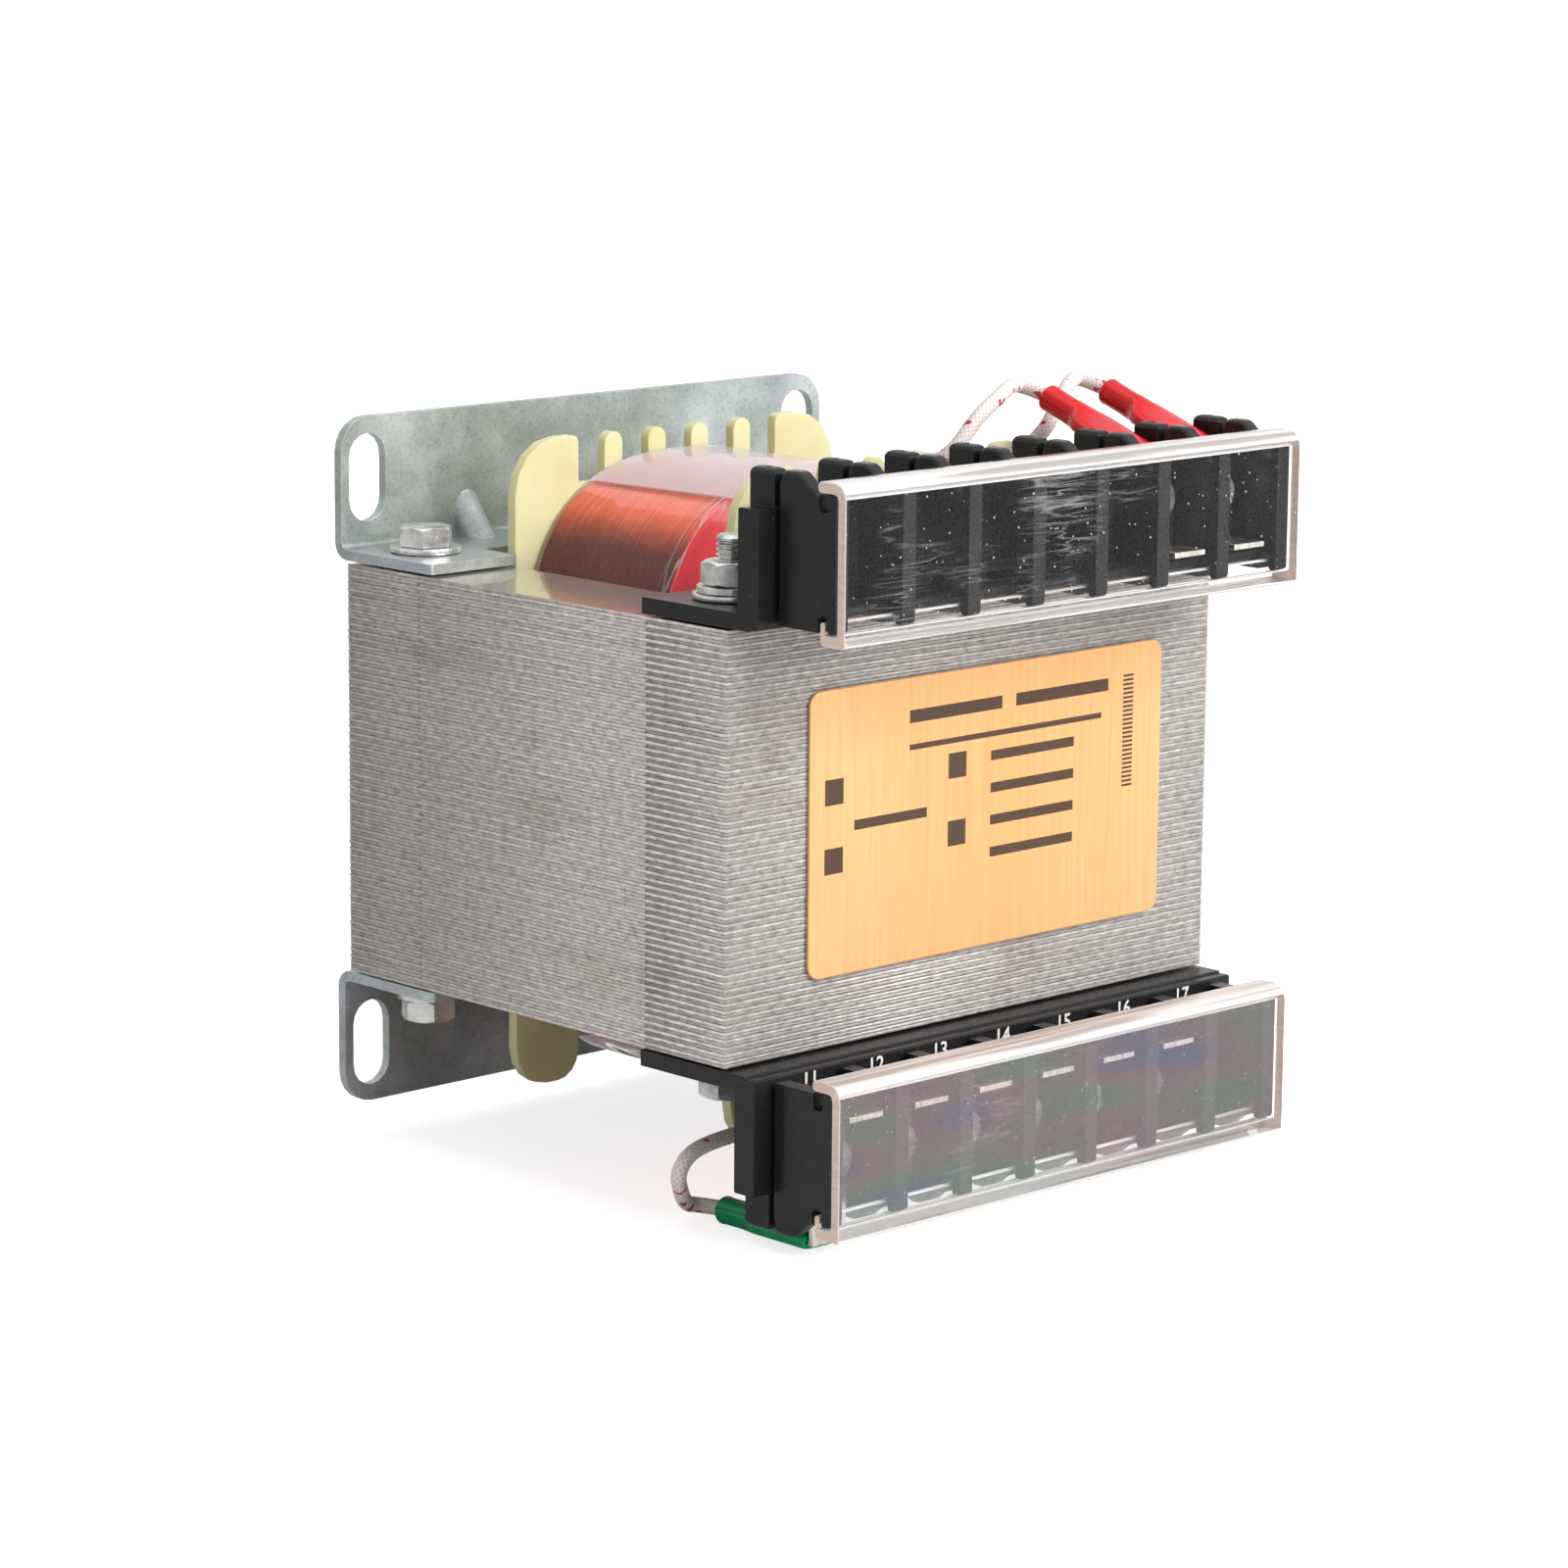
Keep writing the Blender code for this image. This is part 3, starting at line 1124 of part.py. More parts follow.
def build_leads(assembly):
    for name, points in LEAD_ROUTES.items():
        level, pole = name.split("_")[1:]
        way = -1.0 if level == "bottom" else 1.0
        start = lead_start(name, way)
        end = lead_end(int(pole), level)
        free = [Vector((start[-1].x + share * (end[0].x - start[-1].x),
                        BOBBIN_FRONT - forward * MM, way * (CORE_TOP + rise * MM)))
                for share, forward, rise in points]
        knots = start + free + end
        curve = bpy.data.curves.new(name, "CURVE")
        curve.dimensions = "3D"
        curve.bevel_depth = LEAD_RADIUS
        curve.bevel_resolution = 2
        curve.use_fill_caps = True
        spline = curve.splines.new("POLY")
        route = smooth_route(knots)
        spline.points.add(len(route) - 1)
        for point, place in zip(spline.points, route):
            point.co = (*place, 1.0)
        lead = bpy.data.objects.new(name, curve)
        bpy.context.scene.collection.objects.link(lead)
        mesh = evaluated_mesh(lead)
        weld(mesh)
        bpy.data.objects.remove(lead)
        bpy.data.curves.remove(curve)
        solid = bpy.data.objects.new(name, mesh)
        assembly.place(name, assembly.shape(solid, "glass_braid", smooth=True))


def build_plate(assembly):
    half_width = PLATE_WIDTH / 2.0
    half_height = PLATE_HEIGHT / 2.0
    outline = rectangle(-half_width, -half_height, half_width, half_height, PLATE_CORNER_RADIUS)
    plate = assembly.shape(outline_solid("plate", [outline], PLATE_THICKNESS, "XZ"), "gold_foil")
    middle = -SEAT_GAP - PLATE_THICKNESS / 2.0
    assembly.place("nameplate", plate, (PLATE_OFFSET_X, middle, 0.0))


def main():
    for obj in list(bpy.data.objects):
        bpy.data.objects.remove(obj)
    assembly = Assembly()
    build_core(assembly)
    build_bobbin(assembly)
    build_windings(assembly)
    build_brackets(assembly)
    build_fasteners(assembly)
    build_rails(assembly)
    build_block(assembly, "terminal_block_top", TOP_POLES_IN_USE, turned=False)
    build_block(assembly, "terminal_block_bottom", BOTTOM_POLES_IN_USE, turned=True)
    build_covers(assembly)
    build_terminals(assembly)
    build_leads(assembly)
    build_plate(assembly)


main()
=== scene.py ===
"""Finishes of a control transformer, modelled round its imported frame."""

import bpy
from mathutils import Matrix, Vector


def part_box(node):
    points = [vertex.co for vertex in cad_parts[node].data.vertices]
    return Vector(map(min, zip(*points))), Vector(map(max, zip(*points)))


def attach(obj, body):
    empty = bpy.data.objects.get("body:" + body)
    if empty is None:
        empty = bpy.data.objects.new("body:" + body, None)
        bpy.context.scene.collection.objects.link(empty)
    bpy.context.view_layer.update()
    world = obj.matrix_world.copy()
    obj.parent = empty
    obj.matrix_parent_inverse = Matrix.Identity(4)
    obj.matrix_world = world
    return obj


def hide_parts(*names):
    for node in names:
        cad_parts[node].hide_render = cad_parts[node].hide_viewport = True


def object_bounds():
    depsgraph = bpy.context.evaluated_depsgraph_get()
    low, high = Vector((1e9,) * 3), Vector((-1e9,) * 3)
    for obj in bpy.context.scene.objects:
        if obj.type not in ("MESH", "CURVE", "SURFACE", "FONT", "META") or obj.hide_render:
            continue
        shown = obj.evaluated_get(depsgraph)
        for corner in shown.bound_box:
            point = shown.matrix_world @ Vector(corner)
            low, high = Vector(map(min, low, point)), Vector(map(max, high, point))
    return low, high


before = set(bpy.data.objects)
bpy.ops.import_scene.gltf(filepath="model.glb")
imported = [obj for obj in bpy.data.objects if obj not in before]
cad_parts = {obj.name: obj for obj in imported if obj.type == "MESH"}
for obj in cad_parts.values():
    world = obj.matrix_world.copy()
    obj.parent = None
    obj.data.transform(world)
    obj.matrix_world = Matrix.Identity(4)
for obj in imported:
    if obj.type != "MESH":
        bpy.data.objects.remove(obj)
CAD_BOX = [list(corner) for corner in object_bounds()]

import math
import random

import bmesh
import bpy
from bpy.props import FloatProperty, FloatVectorProperty, IntProperty, PointerProperty
from mathutils import Matrix, Vector, noise

bl_info = {
    "name": "Control Transformer",
    "version": (1, 0, 0),
    "blender": (4, 5, 0),
    "location": "View3D > Sidebar > Transformer",
    "description": "Models the finishes of a control transformer round its frame",
    "category": "Object",
}

MM = 0.001

# Places taken from the frame
CORE_LOW, CORE_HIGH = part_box("core_laminations")
DATUM = Vector((0.0, CORE_LOW.y, (CORE_LOW.z + CORE_HIGH.z) / 2.0))
CORE_HEIGHT = CORE_HIGH.z - CORE_LOW.z
CORE_TOP = CORE_HEIGHT / 2.0
LEG_WIDTH = (CORE_HIGH.x - CORE_LOW.x) / 6.0
CORE_DEPTH = CORE_HIGH.y - CORE_LOW.y
FLOOR_Z = CAD_BOX[0][2] - 0.2 * MM
FORMER_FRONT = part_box("bobbin")[0].y
FILM_LOW, FILM_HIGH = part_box("film_wrap")

# Sizes of the real piece that the frame can't give
POLES = 7
POLE_PITCH = 12.5 * MM
TOOTH_PITCH = 8.52 * MM
BOLT_HOLE_RADIUS = 2.35 * MM
BOLT_RADIUS = 2.0 * MM
BOLT_HEAD = 2.8 * MM
THREAD_LENGTH = 14.0 * MM
HEX_FLATS = 7.0 * MM
HEX_CHAMFER = math.radians(30.0)
FLANGE_THICKNESS = 1.7 * MM
NUT_BORE = 2.05 * MM
WASHER_BORE = 2.15 * MM
LOCK_WASHER_RADIUS = 4.6 * MM
LOCK_WASHER_SPLIT = 0.8 * MM
WASHER_EDGE = 0.14 * MM
LOCK_WASHER_EDGE = 0.12 * MM
SCREW_HEAD = 2.0 * MM
SCREW_SHANK = 1.6 * MM
SCREW_SLOT = (0.7 * MM, 0.9 * MM)
PLATE_CORNER = 2.0 * MM

# Printed numbers of the poles: the first one, the font's figure height as a share of its size,
# how much bolder they are than the font, and how far their foot stands under the core
FIRST_FIGURE = 11
FIGURE_SHARE = 0.7
FIGURE_BOLDNESS = 0.04 * MM
FIGURE_DROP = 3.1 * MM

# Two corners closer than this are one
MERGE_DISTANCE = 0.001 * MM
HALF_TURN = Matrix.Rotation(math.pi, 4, "Y")
UPRIGHT = Matrix.Rotation(math.pi / 2.0, 4, "X")

# Photograph's camera, solved on the core's edges
CAMERA_PLACE = (-0.512464, -0.579095, 0.098642)
CAMERA_AZIMUTH = math.radians(43.768)
CAMERA_DIP = math.radians(10.924)
CAMERA_ROLL = math.radians(0.4756)
CAMERA_LENS = 118.94


# Colours and nodes

def hex_colour(code):
    """Linear colour of an sRGB hex value."""
    linear = []
    for start in (0, 2, 4):
        value = int(code[start:start + 2], 16) / 255.0
        linear.append(value / 12.92 if value <= 0.04045 else ((value + 0.055) / 1.055) ** 2.4)
    return (*linear, 1.0)


def full_colour(colour):
    """Four channels of a hex value, of a grey from 0.0 to 1.0 or of linear channels."""
    if isinstance(colour, str):
        return hex_colour(colour)
    if isinstance(colour, float):
        return (colour, colour, colour, 1.0)
    return (*colour[:3], 1.0)


def shaded(colour, share):
    """Linear channels of a colour made darker or lighter by this share."""
    return tuple(share * channel for channel in colour[:3])


def connect(tree, socket, value):
    """Link an output to a socket, or set the socket's own value."""
    if isinstance(value, bpy.types.NodeSocket):
        tree.links.new(value, socket)
    elif socket.type == "RGBA":
        socket.default_value = full_colour(value)
    else:
        socket.default_value = value


def add_node(tree, kind, inputs=None, stops=None, output=0, **settings):
    """Add a node with its settings, its input values or links and a ramp's stops, and give one
    of its outputs."""
    made = tree.nodes.new("ShaderNode" + kind)
    for name, value in settings.items():
        setattr(made, name, value)
    for name, value in (inputs or {}).items():
        connect(tree, made.inputs[name], value)
    if stops:
        ramp = made.color_ramp
        while len(ramp.elements) < len(stops):
            ramp.elements.new(1.0)
        for element, (position, colour) in zip(ramp.elements, stops):
            element.position = position
            element.color = full_colour(colour)
    return made.outputs[output]


# Settings of a Mix node for colours: its inputs are 0 the share, 6 and 7 the colours
MIXED = {"output": 2, "data_type": "RGBA", "blend_type": "MIX"}
MULTIPLIED = {**MIXED, "blend_type": "MULTIPLY"}
LIGHTENED = {**MIXED, "blend_type": "LIGHTEN"}


def new_material(name):
    """A material with its node tree, its surface shader and the object's own coordinates."""
    made = bpy.data.materials.new(name)
    made.use_nodes = True
    tree = made.node_tree
    return made, tree, tree.nodes["Principled BSDF"], add_node(tree, "TexCoord", output="Object")


def dress(tree, surface, **values):
    """Link the surface shader's sockets, or set them where a value is the same all over."""
    for name, value in values.items():
        connect(tree, surface.inputs[name.replace("_", " ")], value)


def finish(build):
    """The material that this function builds, made the first time that it is asked for."""
    return bpy.data.materials.get(build.__name__) or build(build.__name__)


def mottle(tree, place, size, detail=4.0, roughness=0.55, stretch=(1.0, 1.0, 1.0), turn=0.0):
    """A pattern whose blotches are about this size, stretched and turned where asked."""
    mapped = add_node(tree, "Mapping",
                      {"Vector": place, "Scale": stretch, "Rotation": (0.0, turn, turn)})
    return add_node(tree, "TexNoise", {"Vector": mapped, "Scale": 0.5 / size, "Detail": detail,
                                       "Roughness": roughness})


def scratches(tree, place, size, turn):
    """Thin long lines along one direction, 1 on a scratch and 0 beside it."""
    line = mottle(tree, place, size, 1.0, 0.3, (0.06, 1.0, 1.0), turn)
    return add_node(tree, "ValToRGB", {"Fac": line}, [(0.485, 0.0), (0.5, 1.0), (0.515, 0.0)])


# Materials

def sheared_edges(name, share):
    """Sheared edges of silicon steel sheet: satin grey, each sheet a little lighter or darker."""
    look = bpy.context.scene.transformer_core
    made, tree, surface, place = new_material(name)
    layer = add_node(tree, "SeparateXYZ", {"Vector": place}, output="Z")
    layer = add_node(tree, "Math", {0: layer, 1: CORE_LOW.z}, operation="SUBTRACT")
    layer = add_node(tree, "Math", {0: layer, 1: CORE_HEIGHT / look.sheet_count},
                     operation="DIVIDE")
    layer = add_node(tree, "Math", {0: layer}, operation="FLOOR")
    tone = add_node(tree, "TexWhiteNoise", {"W": layer}, noise_dimensions="1D")
    sheet = add_node(tree, "MapRange", {"Value": tone, "To Min": 0.93, "To Max": 1.05})
    burr = mottle(tree, place, 0.8 * MM, 3.0, 0.6, (1.0, 1.0, 2.4))
    stain = mottle(tree, place, 14.0 * MM, 4.0, 0.6, (1.0, 1.0, 2.5))
    smudge = add_node(tree, "ValToRGB", {"Fac": stain}, [(0.33, "ded7d2"), (0.45, "ffffff")])
    colour = add_node(tree, "ValToRGB", {"Fac": burr},
                      [(0.33, shaded(look.edge_dark, share)),
                       (0.5, shaded(look.edge_colour, share)),
                       (0.7, shaded(look.edge_light, share))])
    colour = add_node(tree, "Mix", {0: 1.0, 6: colour, 7: sheet}, **MULTIPLIED)
    colour = add_node(tree, "Mix", {0: 0.6, 6: colour, 7: smudge}, **MULTIPLIED)
    dress(tree, surface, Base_Color=colour, Metallic=0.12,
          Roughness=add_node(tree, "MapRange", {"Value": burr, "To Min": 0.34, "To Max": 0.52}),
          Normal=add_node(tree, "Bump", {"Height": burr, "Distance": 0.02 * MM, "Strength": 0.5}))
    return made


def sheared_silicon_steel(name):
    return sheared_edges(name, 1.0)


def recessed_steel_painted_shade(name):
    """Ends of the I sheets, which stand a little back between the E sheets, painted darker as
    painted shade in that recess.
    """
    return sheared_edges(name, bpy.context.scene.transformer_core.recess_painted_shade)


def rolled_silicon_steel(name):
    """Rolled face of the outer sheet: smooth and bright enough to mirror the coil."""
    made, tree, surface, place = new_material(name)
    bloom = mottle(tree, place, 14.0 * MM, 4.0, 0.6)
    rolled = mottle(tree, place, 0.9 * MM, 3.0, 0.5, (0.15, 1.0, 1.0))
    dress(tree, surface, Metallic=0.65,
          Base_Color=add_node(tree, "ValToRGB", {"Fac": bloom},
                              [(0.3, "c9c0b6"), (0.55, "dad1c6"), (0.75, "e2d8cb")]),
          Roughness=add_node(tree, "MapRange", {"Value": rolled, "To Min": 0.05, "To Max": 0.12}),
          Normal=add_node(tree, "Bump",
                          {"Height": rolled, "Distance": 0.004 * MM, "Strength": 0.4}))
    return made


def bright_zinc_plate(name):
    """Zinc plate with a blue passivate: cloudy, with faint green and pink interference. Its
    crystals are finer than 0.1 mm and are drawn at 0.28 mm so that they show."""
    look = bpy.context.scene.transformer_metal
    made, tree, surface, place = new_material(name)
    cloud = mottle(tree, place, 7.0 * MM, 7.0, 0.66)
    tint = mottle(tree, place, 13.0 * MM, 2.0, 0.5, turn=0.6)
    grain = mottle(tree, place, 0.28 * MM, 3.0, 0.65)
    colour = add_node(tree, "ValToRGB", {"Fac": cloud},
                      [(0.34, look.zinc_dark), (0.5, look.zinc_colour), (0.66, look.zinc_light)])
    sheen = add_node(tree, "ValToRGB", {"Fac": tint},
                     [(0.3, "cfd9f2"), (0.4, "e4ecd6"), (0.52, "f4f6f5"), (0.6, "f3dbe6"),
                      (0.7, "cfe0f0")])
    colour = add_node(tree, "Mix", {0: 0.4, 6: colour, 7: sheen}, **MULTIPLIED)
    speck = add_node(tree, "ValToRGB", {"Fac": grain}, [(0.36, 0.62), (0.5, 1.0)])
    colour = add_node(tree, "Mix", {0: 0.5, 6: colour, 7: speck}, **MULTIPLIED)
    dress(tree, surface, Base_Color=colour, Metallic=0.45,
          Roughness=add_node(tree, "MapRange", {"Value": cloud, "From Min": 0.3, "From Max": 0.7,
                                                "To Min": 0.26, "To Max": 0.42}),
          Normal=add_node(tree, "Bump",
                          {"Height": grain, "Distance": 0.008 * MM, "Strength": 0.5}))
    return made


def zinc_plated_screw_steel(name):
    """Cold-headed steel with thin zinc: bright, with soft dark specks."""
    made, tree, surface, place = new_material(name)
    cloud = mottle(tree, place, 1.6 * MM, 4.0, 0.6)
    dress(tree, surface, Metallic=0.75,
          Base_Color=add_node(tree, "ValToRGB", {"Fac": cloud},
                              [(0.32, "9a9c9b"), (0.5, "cfcfcc"), (0.7, "e6e6e2")]),
          Roughness=add_node(tree, "MapRange", {"Value": cloud, "To Min": 0.18, "To Max": 0.36}),
          Normal=add_node(tree, "Bump",
                          {"Height": cloud, "Distance": 0.01 * MM, "Strength": 0.5}))
    return made


def tinned_brass(name):
    """Stamped brass strip with a tin coat: pale, faintly warm, drawn lines from the die."""
    made, tree, surface, place = new_material(name)
    drawn = mottle(tree, place, 0.5 * MM, 3.0, 0.6, (1.0, 0.2, 0.2))
    dress(tree, surface, Metallic=1.0,
          Base_Color=add_node(tree, "ValToRGB", {"Fac": drawn},
                              [(0.3, "cfc9bb"), (0.6, "f6f2ea")]),
          Roughness=add_node(tree, "MapRange", {"Value": drawn, "To Min": 0.18, "To Max": 0.34}),
          Normal=add_node(tree, "Bump",
                          {"Height": drawn, "Distance": 0.008 * MM, "Strength": 0.5}))
    return made


def natural_nylon(name):
    """Moulded natural nylon: waxy cream that light sinks into a little way. The mould's fine
    grain is drawn at 0.5 mm so that it shows."""
    look = bpy.context.scene.transformer_mouldings
    made, tree, surface, place = new_material(name)
    flow = mottle(tree, place, 6.0 * MM, 3.0, 0.5)
    grain = mottle(tree, place, 0.5 * MM, 2.0, 0.5)
    dress(tree, surface, Subsurface_Weight=0.5, Subsurface_Radius=(1.6, 1.5, 0.7),
          Subsurface_Scale=1.2 * MM, Specular_IOR_Level=0.5,
          Base_Color=add_node(tree, "ValToRGB", {"Fac": flow},
                              [(0.3, look.nylon_shade), (0.62, look.nylon_colour)]),
          Roughness=add_node(tree, "MapRange", {"Value": grain, "To Min": 0.34, "To Max": 0.48}),
          Normal=add_node(tree, "Bump",
                          {"Height": grain, "Distance": 0.012 * MM, "Strength": 0.4}))
    return made


def enamelled_copper_wire(name):
    """Copper winding wire under clear enamel: orange on top, painted darker brown lower down by
    the core as painted shade.
    """
    look = bpy.context.scene.transformer_coil
    made, tree, surface, place = new_material(name)
    turn = add_node(tree, "SeparateXYZ", {"Vector": place}, output="Y")
    turn = add_node(tree, "Math", {0: turn, 1: look.wire_pitch}, operation="DIVIDE")
    turn = add_node(tree, "Math", {0: turn}, operation="FLOOR")
    tone = add_node(tree, "TexWhiteNoise", {"W": turn}, noise_dimensions="1D")
    shade = add_node(tree, "MapRange", {"Value": tone, "To Min": 0.8, "To Max": 1.1})
    # Painted shade: the turns lower over the core blend into the shade colour, along a height
    # wobbled by a mottle
    rise = add_node(tree, "SeparateXYZ", {"Vector": place}, output="Z")
    rise = add_node(tree, "Math", {0: rise, 1: CORE_HIGH.z}, operation="SUBTRACT")
    bloom = add_node(tree, "Math", {0: mottle(tree, place, 6.0 * MM, 4.0, 0.6), 1: 4.0 * MM},
                     operation="MULTIPLY")
    rise = add_node(tree, "Math", {0: rise, 1: bloom}, operation="ADD")
    lit = add_node(tree, "MapRange", {"Value": rise, "From Min": 5.5 * MM, "From Max": 10.0 * MM})
    colour = add_node(tree, "Mix", {0: lit, 6: look.copper_painted_shade, 7: look.copper_colour}, **MIXED)
    dress(tree, surface, Metallic=0.6, Roughness=0.32, Coat_Weight=0.2, Coat_Roughness=0.12,
          Base_Color=add_node(tree, "Mix", {0: 1.0, 6: colour, 7: shade}, **MULTIPLIED))
    return made


def red_polyester_tape(name):
    """Red polyester tape: flat bright colour, glossy, with faint lines of the layer below."""
    colour = bpy.context.scene.transformer_coil.tape_colour
    made, tree, surface, place = new_material(name)
    ply = mottle(tree, place, 1.1 * MM, 3.0, 0.6, (0.12, 1.0, 0.12))
    dress(tree, surface, Roughness=0.36, Specular_IOR_Level=0.35,
          Base_Color=add_node(tree, "ValToRGB", {"Fac": ply},
                              [(0.3, shaded(colour, 0.72)), (0.55, colour)]),
          Normal=add_node(tree, "Bump", {"Height": ply, "Distance": 0.03 * MM, "Strength": 0.4}))
    return made


def clear_polyester_film(name):
    """Clear polyester film: glossy, with a painted reflection over the coil's crown, where it
    turns milky white above a wavy height, and painted highlights as faint milky creases beside the
    red tape's edge."""
    look = bpy.context.scene.transformer_coil
    made, tree, surface, place = new_material(name)
    # Painted reflection: above a wavy height on the crown the film loses its clearness and shows
    # its pale colour
    height = add_node(tree, "SeparateXYZ", {"Vector": place}, output="Z")
    height = add_node(tree, "Math", {0: height, 1: CORE_HIGH.z}, operation="SUBTRACT")
    wave = add_node(tree, "Math", {0: mottle(tree, place, 20.0 * MM, 1.0, 0.4), 1: 1.5 * MM},
                    operation="MULTIPLY")
    height = add_node(tree, "Math", {0: height, 1: wave}, operation="ADD")
    crown = add_node(tree, "MapRange",
                     {"Value": height, "From Min": 12.1 * MM, "From Max": 12.35 * MM})
    # The fold pattern makes the painted reflection uneven and bumps the film
    fold = mottle(tree, place, 9.0 * MM, 3.0, 0.5, (0.5, 1.6, 0.5))
    milky = add_node(tree, "MapRange", {"Value": fold, "To Min": 0.8, "To Max": 1.1})
    painted_reflection = add_node(tree, "Math", {0: crown, 1: milky}, operation="MULTIPLY")
    beside = add_node(tree, "SeparateXYZ", {"Vector": place}, output="Y")
    beside = add_node(tree, "Math", {0: beside, 1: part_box("red_tape_band")[1].y},
                      operation="SUBTRACT")
    beside = add_node(tree, "Math", {0: beside}, operation="ABSOLUTE")
    beside = add_node(tree, "MapRange", {"Value": beside, "From Min": 0.6 * MM,
                                         "From Max": 2.6 * MM, "To Min": 1.0, "To Max": 0.0})
    # Painted highlights: thin milky lines near the tape's edge stand in for bright glints on the
    # film's creases
    crease = add_node(tree, "ValToRGB",
                      {"Fac": mottle(tree, place, 1.3 * MM, 2.0, 0.5, (0.14, 1.0, 0.14))},
                      [(0.475, 0.0), (0.5, 1.0), (0.525, 0.0)])
    crease = add_node(tree, "Mix", {0: 1.0, 6: crease, 7: beside}, **MULTIPLIED)
    painted_reflection = add_node(tree, "Math", {0: painted_reflection, 1: crease}, operation="MAXIMUM")
    clear = add_node(tree, "MapRange", {"Value": painted_reflection, "To Min": 1.0 - look.film_clear,
                                        "To Max": 1.0 - look.film_painted_reflection})
    dress(tree, surface, Transmission_Weight=clear, Base_Color="f6eef0", IOR=1.16, Roughness=0.03,
          Normal=add_node(tree, "Bump", {"Height": fold, "Distance": 0.05 * MM, "Strength": 0.3}))
    return made


def insulating_paper(name):
    """Calendered insulating paper: tan fibres, matt."""
    made, tree, surface, place = new_material(name)
    fibre = mottle(tree, place, 0.8 * MM, 4.0, 0.7, (0.4, 1.0, 1.0))
    dress(tree, surface, Roughness=0.8,
          Base_Color=add_node(tree, "ValToRGB", {"Fac": fibre},
                              [(0.3, "b79f74"), (0.65, "d8c79c")]),
          Normal=add_node(tree, "Bump",
                          {"Height": fibre, "Distance": 0.03 * MM, "Strength": 0.5}))
    return made


def moulded_black_thermoset(name):
    """Black moulding compound: deep grey-black with a fine satin grain, drawn at 0.22 mm so that
    it shows, and a little dust."""
    colour = bpy.context.scene.transformer_mouldings.black_colour
    made, tree, surface, place = new_material(name)
    flow = mottle(tree, place, 5.0 * MM, 3.0, 0.6)
    grain = mottle(tree, place, 0.22 * MM, 2.0, 0.6)
    dust = mottle(tree, place, 0.45 * MM, 2.0, 0.75)
    base = add_node(tree, "ValToRGB", {"Fac": flow}, [(0.3, colour), (0.75, shaded(colour, 1.5))])
    speck = add_node(tree, "ValToRGB", {"Fac": dust}, [(0.735, 0.0), (0.76, 1.0)])
    dress(tree, surface, Specular_IOR_Level=0.25,
          Base_Color=add_node(tree, "Mix", {0: speck, 6: base, 7: "6c6a6a"}, **MIXED),
          Roughness=add_node(tree, "MapRange", {"Value": grain, "To Min": 0.22, "To Max": 0.34}),
          Normal=add_node(tree, "Bump",
                          {"Height": grain, "Distance": 0.008 * MM, "Strength": 0.5}))
    return made


def cover_wall(name, haze, mark, tints):
    """Front wall of a cover: see-through, with specks of dust and handling scratches on it."""
    made, tree, surface, place = new_material(name)
    speckled = {"Vector": place, "Scale": 1.0 / (1.2 * MM)}
    size = add_node(tree, "SeparateColor",
                    {"Color": add_node(tree, "TexVoronoi", speckled, output="Color")})
    size = add_node(tree, "MapRange", {"Value": size, "To Min": -0.14, "To Max": 0.15})
    dust = add_node(tree, "Math", {0: add_node(tree, "TexVoronoi", speckled), 1: size},
                    operation="LESS_THAN")
    rubbed = add_node(tree, "ValToRGB", {"Fac": mottle(tree, place, 15.0 * MM, 3.0, 0.6)},
                      [(0.55, 0.0), (0.66, 0.5)])
    lines = add_node(tree, "Mix", {0: 1.0, 6: scratches(tree, place, 0.45 * MM, 0.95),
                                   7: scratches(tree, place, 0.9 * MM, -0.5)}, **LIGHTENED)
    lines = add_node(tree, "Mix", {0: 1.0, 6: lines, 7: rubbed}, **MULTIPLIED)
    marks = add_node(tree, "Mix", {0: 1.0, 6: lines, 7: dust}, **LIGHTENED)
    band = mottle(tree, place, 8.0 * MM, 1.0, 0.4, (0.5, 1.0, 1.8), 0.5)
    dress(tree, surface, Roughness=0.12, IOR=1.49,
          Alpha=add_node(tree, "MapRange", {"Value": marks, "To Min": haze, "To Max": mark}),
          Base_Color=add_node(tree, "ValToRGB", {"Fac": band}, tints))
    return made


def clear_acrylic(name):
    return cover_wall(name, 0.012, 0.5, [(0.3, "e4e6ea"), (0.7, "f2f2f2")])


def hazy_acrylic(name):
    """The lower cover's wall: the same sheet, hazier, with the faint colours of its strain."""
    return cover_wall(name, 0.13, 0.4, [(0.32, "c6c4dc"), (0.41, "e2c8cc"), (0.5, "d6d1cb"),
                                        (0.59, "c4d6ca"), (0.68, "c2cadc")])


def bent_acrylic(name):
    """Lips and bends of a cover: the same sheet edge-on, partly see-through, painted pale to white
    as a painted highlight of the light that it catches, with fine lines along its length."""
    made, tree, surface, place = new_material(name)
    flow = mottle(tree, place, 1.0 * MM, 2.0, 0.5, (0.03, 1.0, 1.0))
    clear = add_node(tree, "MapRange", {"Value": flow, "To Min": 0.15, "To Max": 0.45})
    dress(tree, surface, Roughness=0.08, IOR=1.49, Transmission_Weight=clear,
          # Painted highlight: pale to white colour along the lips and bends
          Base_Color=add_node(tree, "ValToRGB", {"Fac": flow},
                              [(0.36, "b9b4b0"), (0.45, "f7f2ee"), (0.7, "ffffff")]))
    return made


def sawn_acrylic(name):
    """Sawn end of a cover: matt and peach coloured, lit through from the sheet."""
    made, tree, surface, place = new_material(name)
    saw = mottle(tree, place, 0.3 * MM, 2.0, 0.5, (1.0, 0.15, 1.0))
    dress(tree, surface, Roughness=0.45, IOR=1.49, Transmission_Weight=0.1,
          Base_Color=add_node(tree, "ValToRGB", {"Fac": saw}, [(0.3, "ecd2bf"), (0.65, "f8e4d6")]),
          Normal=add_node(tree, "Bump", {"Height": saw, "Distance": 0.01 * MM, "Strength": 0.5}))
    return made


